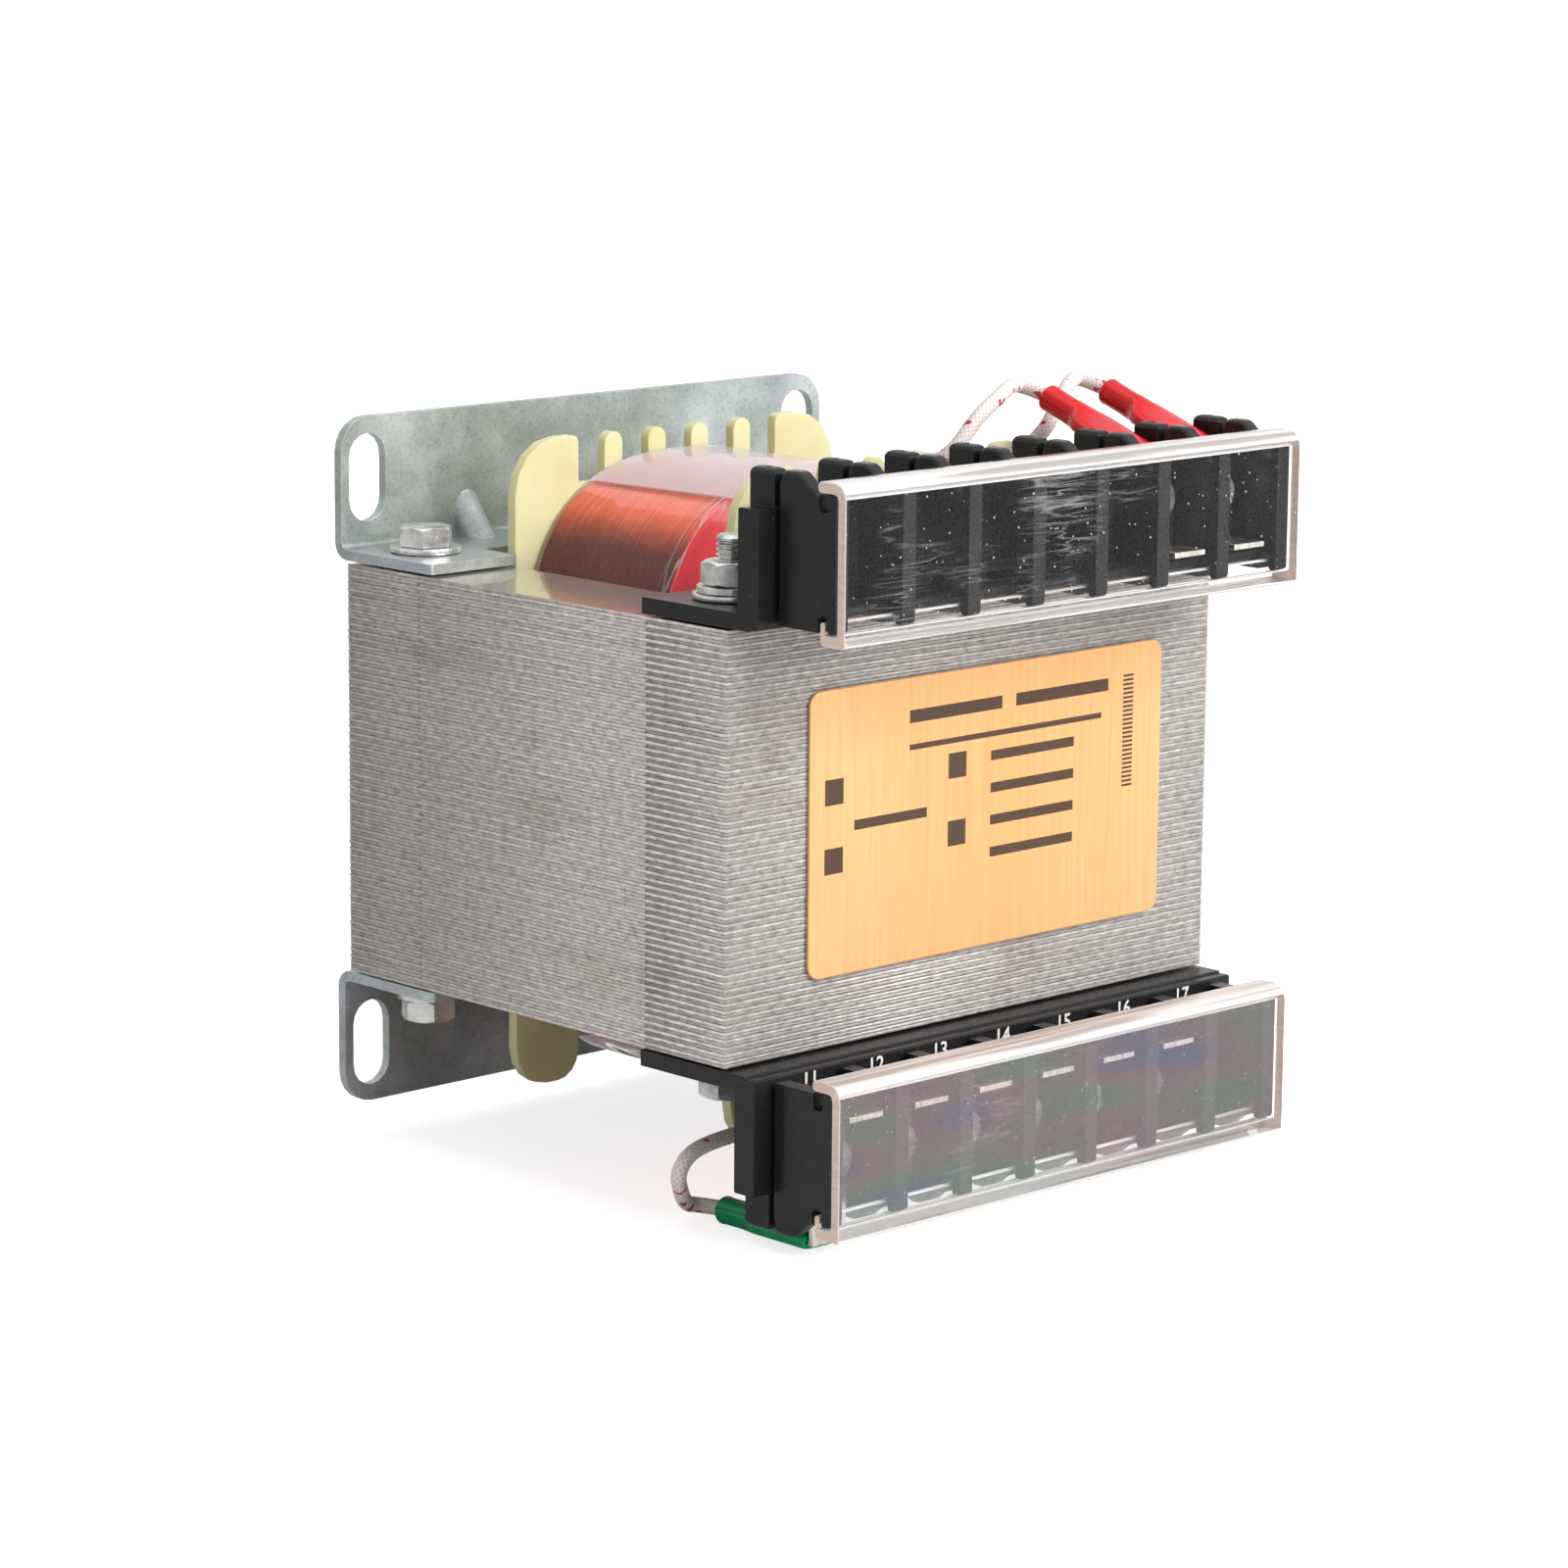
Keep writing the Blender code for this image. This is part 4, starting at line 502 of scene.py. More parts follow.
def soft_vinyl(name, code):
    """Dip-moulded vinyl: saturated, glossy and slightly soft at the edges."""
    made, tree, surface, place = new_material(name)
    flow = mottle(tree, place, 2.5 * MM, 3.0, 0.5)
    deep = shaded(hex_colour(code), 0.85)
    dress(tree, surface, Subsurface_Weight=0.08, Subsurface_Radius=(1.0, 0.3, 0.3),
          Subsurface_Scale=0.6 * MM, Specular_IOR_Level=0.28,
          Base_Color=add_node(tree, "ValToRGB", {"Fac": flow}, [(0.3, deep), (0.6, code)]),
          Roughness=add_node(tree, "MapRange", {"Value": flow, "To Min": 0.14, "To Max": 0.22}),
          Normal=add_node(tree, "Bump", {"Height": flow, "Distance": 0.02 * MM, "Strength": 0.4}))
    return made


def red_vinyl(name):
    return soft_vinyl(name, "dc0314")


def green_vinyl(name):
    return soft_vinyl(name, "0aa368")


def woven_glass_sleeving(name):
    """Braided glass sleeving: off-white ribs that cross, with red tracer flecks."""
    look = bpy.context.scene.transformer_leads
    made, tree, surface, place = new_material(name)
    along = add_node(tree, "TexCoord", output="UV")
    run = add_node(tree, "SeparateXYZ", {"Vector": along}, output="X")
    run = add_node(tree, "Math", {0: run, 1: 1.0 / look.braid_pitch}, operation="MULTIPLY")
    ribs = []
    for strands in (8.0, -8.0):
        turn = add_node(tree, "SeparateXYZ", {"Vector": along}, output="Y")
        turn = add_node(tree, "Math", {0: turn, 1: strands}, operation="MULTIPLY")
        turn = add_node(tree, "Math", {0: run, 1: turn}, operation="ADD")
        turn = add_node(tree, "Math", {0: turn, 1: 2.0 * math.pi}, operation="MULTIPLY")
        ribs.append(add_node(tree, "Math", {0: turn}, operation="SINE"))
    weave = add_node(tree, "Math", {0: ribs[0], 1: ribs[1]}, operation="MAXIMUM")
    height = add_node(tree, "MapRange", {"Value": weave, "From Min": -1.0, "From Max": 1.0})
    fleck = mottle(tree, place, 0.9 * MM, 1.0, 0.4, turn=0.9)
    red = add_node(tree, "ValToRGB", {"Fac": fleck}, [(0.655, 0.0), (0.68, 1.0)])
    base = add_node(tree, "ValToRGB", {"Fac": height}, [(0.1, "d3c2bc"), (0.7, "f4e9e5")])
    dress(tree, surface, Roughness=0.75, Sheen_Weight=0.2,
          Base_Color=add_node(tree, "Mix", {0: red, 6: base, 7: "c2303a"}, **MIXED),
          Normal=add_node(tree, "Bump",
                          {"Height": height, "Distance": 0.06 * MM, "Strength": 0.7}))
    return made


def brushed_gold_foil(name):
    """Gold foil label with upright brush lines, drawn 0.4 mm apart so that they show, under a
    broad uneven wash."""
    colour = bpy.context.scene.transformer_plate.foil_colour
    made, tree, surface, place = new_material(name)
    brush = mottle(tree, place, 0.4 * MM, 4.0, 0.65, (1.0, 1.0, 0.03))
    broad = mottle(tree, place, 14.0 * MM, 2.0, 0.5, (1.0, 1.0, 0.3))
    base = add_node(tree, "ValToRGB", {"Fac": brush}, [(0.3, shaded(colour, 0.86)), (0.6, colour)])
    wash = add_node(tree, "ValToRGB", {"Fac": broad}, [(0.3, "fbecd8"), (0.65, "ffffff")])
    dress(tree, surface, Metallic=0.4,
          Base_Color=add_node(tree, "Mix", {0: 0.7, 6: base, 7: wash}, **MULTIPLIED),
          Roughness=add_node(tree, "MapRange", {"Value": brush, "To Min": 0.32, "To Max": 0.46}),
          Normal=add_node(tree, "Bump",
                          {"Height": brush, "Distance": 0.004 * MM, "Strength": 0.5}))
    return made


def screen_ink(name, code):
    """Screen-printed ink: matt, a little thin in places."""
    made, tree, surface, place = new_material(name)
    cover = mottle(tree, place, 0.3 * MM, 3.0, 0.6)
    thin = tuple(0.8 * channel + 0.02 for channel in hex_colour(code)[:3])
    dress(tree, surface, Roughness=0.6,
          Base_Color=add_node(tree, "ValToRGB", {"Fac": cover}, [(0.3, thin), (0.5, code)]))
    return made


def brown_ink(name):
    return screen_ink(name, "4a3320")


def white_ink(name):
    return screen_ink(name, "f0efec")


# Shapes

def as_mesh(shape, name="part"):
    """A mesh of a bmesh, which is used up."""
    mesh = bpy.data.meshes.new(name)
    shape.to_mesh(mesh)
    shape.free()
    return mesh


def as_shape(mesh):
    """A bmesh of a mesh, which is used up, with its doubles merged."""
    shape = bmesh.new()
    shape.from_mesh(mesh)
    bpy.data.meshes.remove(mesh)
    bmesh.ops.remove_doubles(shape, verts=shape.verts, dist=MERGE_DISTANCE)
    return shape


def put(shape, stand):
    """Move a shape to its place, and give it back."""
    bmesh.ops.transform(shape, matrix=stand, verts=shape.verts)
    return shape


def add_piece(name, shape, finishes, replaced=(), smooth=None, even=False):
    """Turn a bmesh into a finished piece that rides on the frame."""
    mesh = as_mesh(shape, name)
    for build in finishes:
        mesh.materials.append(finish(build))
    if smooth is not None:
        mesh.shade_smooth()
        mesh.set_sharp_from_angle(angle=math.radians(smooth))
    piece = bpy.data.objects.new(name, mesh)
    bpy.context.scene.collection.objects.link(piece)
    if even:
        piece.modifiers.new("even_faces", "WEIGHTED_NORMAL").keep_sharp = True
    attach(piece, "root")
    if replaced:
        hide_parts(*replaced)


def joined_shapes(shapes):
    """One bmesh of several, which are used up."""
    whole = bmesh.new()
    for shape in shapes:
        mesh = as_mesh(shape)
        whole.from_mesh(mesh)
        bpy.data.meshes.remove(mesh)
    return whole


def eased_node(node, radius, segments=2, least_angle=28.0):
    """A copy of a frame node, merged, with its flat faces joined and its edges rounded."""
    shape = as_shape(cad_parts[node].data.copy())
    bmesh.ops.dissolve_limit(shape, angle_limit=math.radians(0.5), verts=shape.verts,
                             edges=shape.edges)
    bmesh.ops.recalc_face_normals(shape, faces=shape.faces)
    edges = [edge for edge in shape.edges
             if edge.is_manifold and edge.calc_face_angle() > math.radians(least_angle)]
    bmesh.ops.bevel(shape, geom=edges, offset=radius, offset_type="OFFSET", segments=segments,
                    profile=0.5, affect="EDGES", clamp_overlap=True, material=-1)
    for face in shape.faces:
        face.material_index = 0
    return shape


def curve_shape(curve):
    """A bmesh of a flat curve or a text, which is used up."""
    holder = bpy.data.objects.new("outline", curve)
    mesh = bpy.data.meshes.new_from_object(holder)
    bpy.data.objects.remove(holder)
    bpy.data.curves.remove(curve)
    return as_shape(mesh)


def flat_shape(loops, thickness, chamfer, at=Matrix.Identity(4), rounds=0):
    """A flat outline with holes as a plate, its rims chamfered or rounded, on the XY plane."""
    curve = bpy.data.curves.new("outline", "CURVE")
    curve.dimensions = "2D"
    curve.fill_mode = "BOTH"
    curve.extrude = thickness / 2.0 - chamfer
    curve.bevel_depth = chamfer
    curve.bevel_resolution = rounds
    curve.offset = -chamfer
    for points in loops:
        spline = curve.splines.new("POLY")
        spline.points.add(len(points) - 1)
        for point, (x, y) in zip(spline.points, points):
            point.co = (x, y, 0.0, 1.0)
        spline.use_cyclic_u = True
    shape = curve_shape(curve)
    bmesh.ops.recalc_face_normals(shape, faces=shape.faces)
    return put(shape, at)


def rectangle(x0, y0, x1, y1):
    return [(x0, y0), (x1, y0), (x1, y1), (x0, y1)]


def rounded_rectangle(x0, y0, x1, y1, radius, steps=6):
    points = []
    for x, y, start in ((x1 - radius, y0 + radius, 270), (x1 - radius, y1 - radius, 0),
                        (x0 + radius, y1 - radius, 90), (x0 + radius, y0 + radius, 180)):
        for step in range(steps + 1):
            turn = math.radians(start + 90.0 * step / steps)
            points.append((x + radius * math.cos(turn), y + radius * math.sin(turn)))
    return points


def circle(x, y, radius, sides, way=1.0):
    """A circle of points, the other way round where way is -1."""
    turns = [way * 2.0 * math.pi * side / sides for side in range(sides)]
    return [(x + radius * math.cos(turn), y + radius * math.sin(turn)) for turn in turns]


def turned_shape(profile, sides):
    """A (radius, height) profile spun about Z."""
    shape = bmesh.new()
    verts = [shape.verts.new((radius, 0.0, height)) for radius, height in profile]
    edges = [shape.edges.new(pair) for pair in zip(verts, verts[1:])]
    bmesh.ops.spin(shape, geom=verts + edges, cent=(0.0, 0.0, 0.0), axis=(0.0, 0.0, 1.0),
                   angle=2.0 * math.pi, steps=sides, use_merge=True)
    bmesh.ops.remove_doubles(shape, verts=shape.verts, dist=MERGE_DISTANCE)
    bmesh.ops.recalc_face_normals(shape, faces=shape.faces)
    return shape


def extruded_rings(rings, closed=False):
    """A skin through rings of points: the first ring is drawn and extruded to each next one."""
    shape = bmesh.new()
    verts = [shape.verts.new(point) for point in rings[0]]
    edges = [shape.edges.new((a, b)) for a, b in zip(verts, verts[1:] + verts[:1])]
    first = edges
    for ring in rings[1:]:
        grown = bmesh.ops.extrude_edge_only(shape, edges=edges)["geom"]
        edges = [item for item in grown if isinstance(item, bmesh.types.BMEdge)]
        fresh = [item for item in grown if isinstance(item, bmesh.types.BMVert)]
        for vert, point in zip(fresh, ring):
            vert.co = point
    if closed:
        bmesh.ops.bridge_loops(shape, edges=first + edges)
    else:
        bmesh.ops.holes_fill(shape, edges=first + edges, sides=0)
    bmesh.ops.recalc_face_normals(shape, faces=shape.faces)
    return shape


def cut_away(shape, cutters):
    """A bmesh less several others, by exact boolean; all of them are used up."""
    body, tool = (bpy.data.objects.new("part", as_mesh(part))
                  for part in (shape, joined_shapes(cutters)))
    for holder in (body, tool):
        bpy.context.scene.collection.objects.link(holder)
    cut = body.modifiers.new("cut", "BOOLEAN")
    cut.operation = "DIFFERENCE"
    cut.solver = "EXACT"
    cut.object = tool
    bpy.context.view_layer.update()
    graph = bpy.context.evaluated_depsgraph_get()
    mesh = bpy.data.meshes.new_from_object(body.evaluated_get(graph))
    for holder in (body, tool):
        bpy.data.objects.remove(holder)
    return as_shape(mesh)


# Core

class CoreSettings(bpy.types.PropertyGroup):
    """Sizes and colours of the laminated core."""
    sheet_count: IntProperty(name="Sheets", description="Sheets in the stack", default=120)
    sheet_gap: FloatProperty(name="Gap", description="Air between two sheets",
                             default=0.03 * MM, unit="LENGTH", precision=5)
    sheet_chamfer: FloatProperty(name="Edge", description="Rounding of a sheared edge",
                                 default=0.05 * MM, unit="LENGTH", precision=5)
    joint_gap: FloatProperty(name="Joint", description="Gap where a leg meets the yoke",
                             default=0.36 * MM, unit="LENGTH", precision=5)
    shuffle: FloatProperty(name="Shuffle", description="How far a sheet may stand out",
                           default=0.03 * MM, unit="LENGTH", precision=5)
    recess: FloatProperty(name="Recess", description="How far an I sheet stands back",
                          default=0.05 * MM, unit="LENGTH", precision=5)
    # How much darker the I sheets' ends are painted: painted shade of their recess
    recess_painted_shade: FloatProperty(name="Recess tone", description="Brightness of the I sheets' ends",
                               default=0.74, subtype="FACTOR")
    edge_colour: FloatVectorProperty(name="Edge colour", description="Sheared edges", size=3,
                                     subtype="COLOR", default=hex_colour("cbc5c0")[:3])
    edge_dark: FloatVectorProperty(name="Edge shade", description="Burnt side of the edges",
                                   size=3, subtype="COLOR", default=hex_colour("aea8a3")[:3])
    edge_light: FloatVectorProperty(name="Edge light", description="Bright side of the edges",
                                    size=3, subtype="COLOR", default=hex_colour("e2ddd8")[:3])


def core_sheets(look):
    """An E sheet with its yoke at the rear and the I sheet that closes it, as two bmeshes."""
    half = 3.0 * LEG_WIDTH
    window_rear = CORE_DEPTH - LEG_WIDTH
    butt = LEG_WIDTH + look.joint_gap / 2.0
    e_outline = [(-half, butt), (-2.0 * LEG_WIDTH, butt), (-2.0 * LEG_WIDTH, window_rear),
                 (-LEG_WIDTH, window_rear), (-LEG_WIDTH, butt), (LEG_WIDTH, butt),
                 (LEG_WIDTH, window_rear), (2.0 * LEG_WIDTH, window_rear), (2.0 * LEG_WIDTH, butt),
                 (half, butt), (half, CORE_DEPTH), (-half, CORE_DEPTH)]
    i_outline = rectangle(look.recess - half, look.recess, half - look.recess,
                          LEG_WIDTH - look.joint_gap / 2.0)
    thickness = CORE_HEIGHT / look.sheet_count - look.sheet_gap
    shapes = []
    for outline, y in ((e_outline, CORE_DEPTH - LEG_WIDTH / 2.0), (i_outline, LEG_WIDTH / 2.0)):
        holes = [circle(side * (half - LEG_WIDTH / 2.0), y, BOLT_HOLE_RADIUS, 6, -1.0)
                 for side in (-1.0, 1.0)]
        shapes.append(flat_shape([outline, *holes], thickness, look.sheet_chamfer))
    return shapes


class TRANSFORMER_OT_core(bpy.types.Operator):
    """Stack the E and I sheets with their joints at alternate ends"""
    bl_idname = "transformer.core"
    bl_label = "Core"

    def execute(self, context):
        look = context.scene.transformer_core
        rolls = random.Random(7)
        meshes = [as_mesh(shape) for shape in core_sheets(look)]
        pitch = CORE_HEIGHT / look.sheet_count
        flip = Matrix.Translation((0.0, CORE_DEPTH, 0.0)) @ Matrix.Rotation(math.pi, 4, "Z")
        stack = bmesh.new()
        for layer in range(look.sheet_count):
            z = CORE_LOW.z + (layer + 0.5) * pitch
            for kind, mesh in enumerate(meshes):
                start = len(stack.verts)
                first_face = len(stack.faces)
                stack.from_mesh(mesh)
                stack.verts.ensure_lookup_table()
                stack.faces.ensure_lookup_table()
                fresh = stack.verts[start:]
                # Rolled faces take the second finish, and the edges of an I sheet the third,
                # painted darker as painted shade
                for face in stack.faces[first_face:]:
                    face.material_index = 1 if abs(face.normal.z) > 0.9 else 2 * kind
                if layer % 2:
                    bmesh.ops.transform(stack, matrix=flip, verts=fresh)
                slip = Vector((rolls.uniform(-1.0, 1.0), rolls.uniform(-1.0, 1.0), 0.0))
                bmesh.ops.translate(stack, verts=fresh,
                                    vec=Vector((0.0, DATUM.y, z)) + slip * look.shuffle)
        for mesh in meshes:
            bpy.data.meshes.remove(mesh)
        add_piece("core_stack", stack,
                  [sheared_silicon_steel, rolled_silicon_steel, recessed_steel_painted_shade],
                  ["core_laminations"])
        return {"FINISHED"}


# Coil

class CoilSettings(bpy.types.PropertyGroup):
    """Sizes and colours of the windings and what is wrapped round them."""
    wire_pitch: FloatProperty(name="Wire pitch", description="Distance between two turns",
                              default=0.5 * MM, unit="LENGTH", precision=5)
    wrinkle: FloatProperty(name="Wrinkle", description="Height of the film's wrinkles",
                           default=0.08 * MM, unit="LENGTH", precision=5)
    film_clear: FloatProperty(name="Film, clear", description="Milkiness of the single layer",
                              default=0.01, subtype="FACTOR")
    # Milkiness of the painted reflection over the coil's crown
    film_painted_reflection: FloatProperty(name="Film, veiled", description="Milkiness of the double layer",
                             default=0.4, subtype="FACTOR")
    copper_colour: FloatVectorProperty(name="Copper", description="Lit turns", size=3,
                                       subtype="COLOR", default=hex_colour("e2683a")[:3])
    # Painted shade of the lower turns, down by the core
    copper_painted_shade: FloatVectorProperty(name="Copper shade", description="Darker turns", size=3,
                                     subtype="COLOR", default=hex_colour("6a2f24")[:3])
    tape_colour: FloatVectorProperty(name="Tape", description="Red polyester tape", size=3,
                                     subtype="COLOR", default=hex_colour("fb1428")[:3])


FORMER_WALL = 1.8 * MM
FORMER_HALF = Vector((LEG_WIDTH + FORMER_WALL, CORE_TOP + FORMER_WALL))
# Height at which the coil's sides turn in, and the power of its rounded outline
COIL_SHOULDER = CORE_TOP - 13.5 * MM
COIL_ROUNDNESS = 2.5
# How much fuller the coil is below the core than above it
COIL_SAG = 1.4 * MM
COIL_STEPS = 24
# Outside and inside of each band, as shares of the way from the coil former to the film
COPPER_BAND = (0.94, 0.51)
TAPE_BAND = (0.972, 0.95)
FILM_BAND = (1.0, 0.985)
# Rings of points along a turn of wire, the tape and the film
WIRE_STEPS = 4
TAPE_STEPS = 30
FILM_STEPS = 72


def coil_quarter(share, crown):
    """A quarter of the outline round the coil, from its side up to this crown."""
    half = (FILM_HIGH.x - FILM_LOW.x) / 2.0
    quarter = []
    for step in range(COIL_STEPS + 1):
        turn = math.pi / 2.0 * step / COIL_STEPS
        outer = Vector((half * max(0.0, math.cos(turn)) ** (2.0 / COIL_ROUNDNESS),
                        COIL_SHOULDER + (crown - COIL_SHOULDER)
                        * math.sin(turn) ** (2.0 / COIL_ROUNDNESS)))
        along = 2.0 * step / COIL_STEPS
        inner = Vector((FORMER_HALF.x * min(1.0, 2.0 - along),
                        COIL_SHOULDER + (FORMER_HALF.y - COIL_SHOULDER) * min(1.0, along)))
        quarter.append(inner.lerp(outer, share))
    return quarter


def coil_outline(share):
    """Outline round the coil: 0 on the coil former, 1 on the outside of the film."""
    crown = (FILM_HIGH.z - FILM_LOW.z) / 2.0
    upper = coil_quarter(share, crown)
    lower = coil_quarter(share, crown + COIL_SAG)
    right = [Vector((p.x, -p.y)) for p in lower[::-1]] + upper
    return right + [Vector((-p.x, p.y)) for p in right[-2:0:-1]]


def outward(outline):
    """Unit normals of a closed outline, pointing out."""
    count = len(outline)
    normals = []
    for index in range(count):
        along = outline[(index + 1) % count] - outline[index - 1]
        normals.append(Vector((along.y, -along.x)).normalized())
    return normals


def coil_band(shares, y0, y1, steps, lift):
    """A closed band round the coil whose outside is raised by lift(point) in metres."""
    outer, inner = (coil_outline(share) for share in shares)
    normals = outward(outer)
    rings = []
    for step in range(steps + 1):
        y = y0 + (y1 - y0) * step / steps
        ring = []
        for point, normal in zip(outer, normals):
            place = Vector((point.x, y, DATUM.z + point.y))
            raised = point + normal * lift(place)
            ring.append(Vector((raised.x, y, DATUM.z + raised.y)))
        rings.append(ring)
    for y in (y1, y0):
        rings.append([Vector((p.x, y, DATUM.z + p.y)) for p in inner])
    return extruded_rings(rings, closed=True)


class TRANSFORMER_OT_windings(bpy.types.Operator):
    """Wind the copper turn by turn, with the red tape and the clear film round it"""
    bl_idname = "transformer.windings"
    bl_label = "Windings"

    def execute(self, context):
        look = context.scene.transformer_coil
        low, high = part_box("secondary_winding")
        turns = round((high.y - low.y) / look.wire_pitch)
        pitch = (high.y - low.y) / turns

        def wire(place):
            """Hollows between the round backs of the turns."""
            across = ((place.y - low.y) / pitch) % 1.0
            return -pitch / 2.0 * (1.0 - math.sqrt(max(0.0, 1.0 - (2.0 * across - 1.0) ** 2)))

        shape = coil_band(COPPER_BAND, low.y, high.y, turns * WIRE_STEPS, wire)
        add_piece("copper_turns", shape, [enamelled_copper_wire],
                  ["secondary_winding"], smooth=75.0)

        low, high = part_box("red_tape_band")

        def ply(place):
            """Faint ripples of the layer below, some of them drawn out round the coil."""
            edge = 0.05 * MM * noise.noise(place * 300.0)
            return edge + 0.06 * MM * noise.noise(Vector((place.x, place.y * 6.0, place.z)) * 90.0)

        shape = coil_band(TAPE_BAND, low.y, high.y, TAPE_STEPS, ply)
        add_piece("tape_band", shape, [red_polyester_tape],
                  ["red_tape_band"], smooth=60.0)

        def wrinkle(place):
            """Soft drape with sharp creases along the coil."""
            drape = noise.noise(Vector((place.x * 60.0, place.y * 200.0, place.z * 60.0)))
            crease = abs(noise.noise(Vector((place.x * 110.0, place.y * 45.0, place.z * 110.0))))
            return look.wrinkle * (drape - 1.4 * max(0.0, 0.25 - crease))

        shape = coil_band(FILM_BAND, FILM_LOW.y, FILM_HIGH.y, FILM_STEPS, wrinkle)
        add_piece("film_sleeve", shape, [clear_polyester_film],
                  ["film_wrap"], smooth=60.0)
        for node, build in (("primary_winding", enamelled_copper_wire),
                            ("interlayer_insulation", insulating_paper)):
            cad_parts[node].data.materials.clear()
            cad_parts[node].data.materials.append(finish(build))
        return {"FINISHED"}


# Mouldings

class MouldingSettings(bpy.types.PropertyGroup):
    """Sizes and colours of the moulded pieces."""
    black_edge: FloatProperty(name="Black edges", description="Edge radius of the black mouldings",
                              default=0.16 * MM, unit="LENGTH", precision=5)
    nylon_edge: FloatProperty(name="Nylon edges", description="Edge radius of the coil former",
                              default=0.3 * MM, unit="LENGTH", precision=5)
    cover_edge: FloatProperty(name="Cover edges", description="Edge radius of the covers' ends",
                              default=0.1 * MM, unit="LENGTH", precision=5)
    black_colour: FloatVectorProperty(name="Black", description="Rails and blocks", size=3,
                                      subtype="COLOR", default=hex_colour("201f20")[:3])
    nylon_colour: FloatVectorProperty(name="Nylon", description="Coil former", size=3,
                                      subtype="COLOR", default=hex_colour("e3deb2")[:3])
    nylon_shade: FloatVectorProperty(name="Nylon shade", description="Thicker nylon", size=3,
                                     subtype="COLOR", default=hex_colour("dad4a0")[:3])


class TRANSFORMER_OT_coil_former(bpy.types.Operator):
    """Round the edges of the nylon coil former"""
    bl_idname = "transformer.coil_former"
    bl_label = "Coil former"

    def execute(self, context):
        look = context.scene.transformer_mouldings
        add_piece("coil_former", eased_node("bobbin", look.nylon_edge), [natural_nylon],
                  ["bobbin"], smooth=40.0, even=True)
        return {"FINISHED"}


class TRANSFORMER_OT_terminal_mouldings(bpy.types.Operator):
    """Round the edges of the rails and of the barrier blocks"""
    bl_idname = "transformer.terminal_mouldings"
    bl_label = "Rails and blocks"

    def execute(self, context):
        look = context.scene.transformer_mouldings
        for name in ("rail_top", "rail_bottom", "block_top", "block_bottom"):
            node = "terminal_" + name
            add_piece(name, eased_node(node, look.black_edge), [moulded_black_thermoset],
                      [node], smooth=40.0, even=True)
        return {"FINISHED"}


class TRANSFORMER_OT_covers(bpy.types.Operator):
    """Clear covers with their sawn ends"""
    bl_idname = "transformer.covers"
    bl_label = "Covers"

    def execute(self, context):
        look = context.scene.transformer_mouldings
        for name, sheet in (("cover_top", clear_acrylic), ("cover_bottom", hazy_acrylic)):
            node = "terminal_" + name
            shape = eased_node(node, look.cover_edge, segments=1, least_angle=60.0)
            # The ends are sawn, and all but the front wall is seen edge-on
            for face in shape.faces:
                if abs(face.normal.x) > 0.5:
                    face.material_index = 2
                elif abs(face.normal.y) < 0.95:
                    face.material_index = 1
            add_piece(name, shape, [sheet, bent_acrylic, sawn_acrylic], [node],
                      smooth=40.0, even=True)
        return {"FINISHED"}


# Metal

class MetalSettings(bpy.types.PropertyGroup):
    """Sizes and colours of the brackets, the fasteners and the terminals."""
    bracket_edge: FloatProperty(name="Bracket edges", description="Rolled edge of the brackets",
                                default=0.22 * MM, unit="LENGTH", precision=5)
    terminal_edge: FloatProperty(name="Terminal edges", description="Stamped edges of the tabs",
                                 default=0.08 * MM, unit="LENGTH", precision=5)
    thread_pitch: FloatProperty(name="Thread", description="Pitch of the core bolts' thread",
                                default=0.7 * MM, unit="LENGTH", precision=5)
    zinc_colour: FloatVectorProperty(name="Zinc", description="Plate, middle tone", size=3,
                                     subtype="COLOR", default=hex_colour("b2b9b9")[:3])
    zinc_dark: FloatVectorProperty(name="Zinc shade", description="Plate, dark clouds", size=3,
                                   subtype="COLOR", default=hex_colour("9da5a4")[:3])
    zinc_light: FloatVectorProperty(name="Zinc light", description="Plate, light clouds", size=3,
                                    subtype="COLOR", default=hex_colour("c9d0d2")[:3])


class TRANSFORMER_OT_brackets(bpy.types.Operator):
    """Roll the edges of the two folded brackets"""
    bl_idname = "transformer.brackets"
    bl_label = "Brackets"

    def execute(self, context):
        look = context.scene.transformer_metal
        for end in ("top", "bottom"):
            node = "mounting_bracket_" + end
            add_piece("bracket_" + end, eased_node(node, look.bracket_edge),
                      [bright_zinc_plate], [node], smooth=40.0, even=True)
        return {"FINISHED"}


def hexagon(height, faces, bore=0.0):
    """Hexagon on z = 0 whose corners are cut back by the cone that turned the listed faces."""
    corner = HEX_FLATS / math.sqrt(3.0)
    inner = 0.98 * HEX_FLATS / 2.0
    rim = 1.08 * corner
    shape = bmesh.new()
    bmesh.ops.create_cone(shape, cap_ends=True, segments=6, radius1=corner, radius2=corner,
                          depth=height, matrix=Matrix.Translation((0.0, 0.0, height / 2.0)))
    drop = (rim - inner) * math.tan(HEX_CHAMFER)
    cutters = []
    for face in faces:
        top, way = (height, 1.0) if face == "top" else (0.0, -1.0)
        profile = [(inner, top), (rim, top - way * drop), (2.0 * rim, top - way * drop),
                   (2.0 * rim, top + way * rim), (inner, top + way * rim), (inner, top)]
        cutters.append(turned_shape(profile, sides=48))
    if bore:
        mouth = 0.35 * MM
        wide = bore + 2.0 * mouth
        profile = [(0.0, -mouth), (wide, -mouth), (bore, mouth), (bore, height - mouth),
                   (wide, height + mouth), (0.0, height + mouth)]
        cutters.append(turned_shape(profile, sides=32))
    return cut_away(shape, cutters)


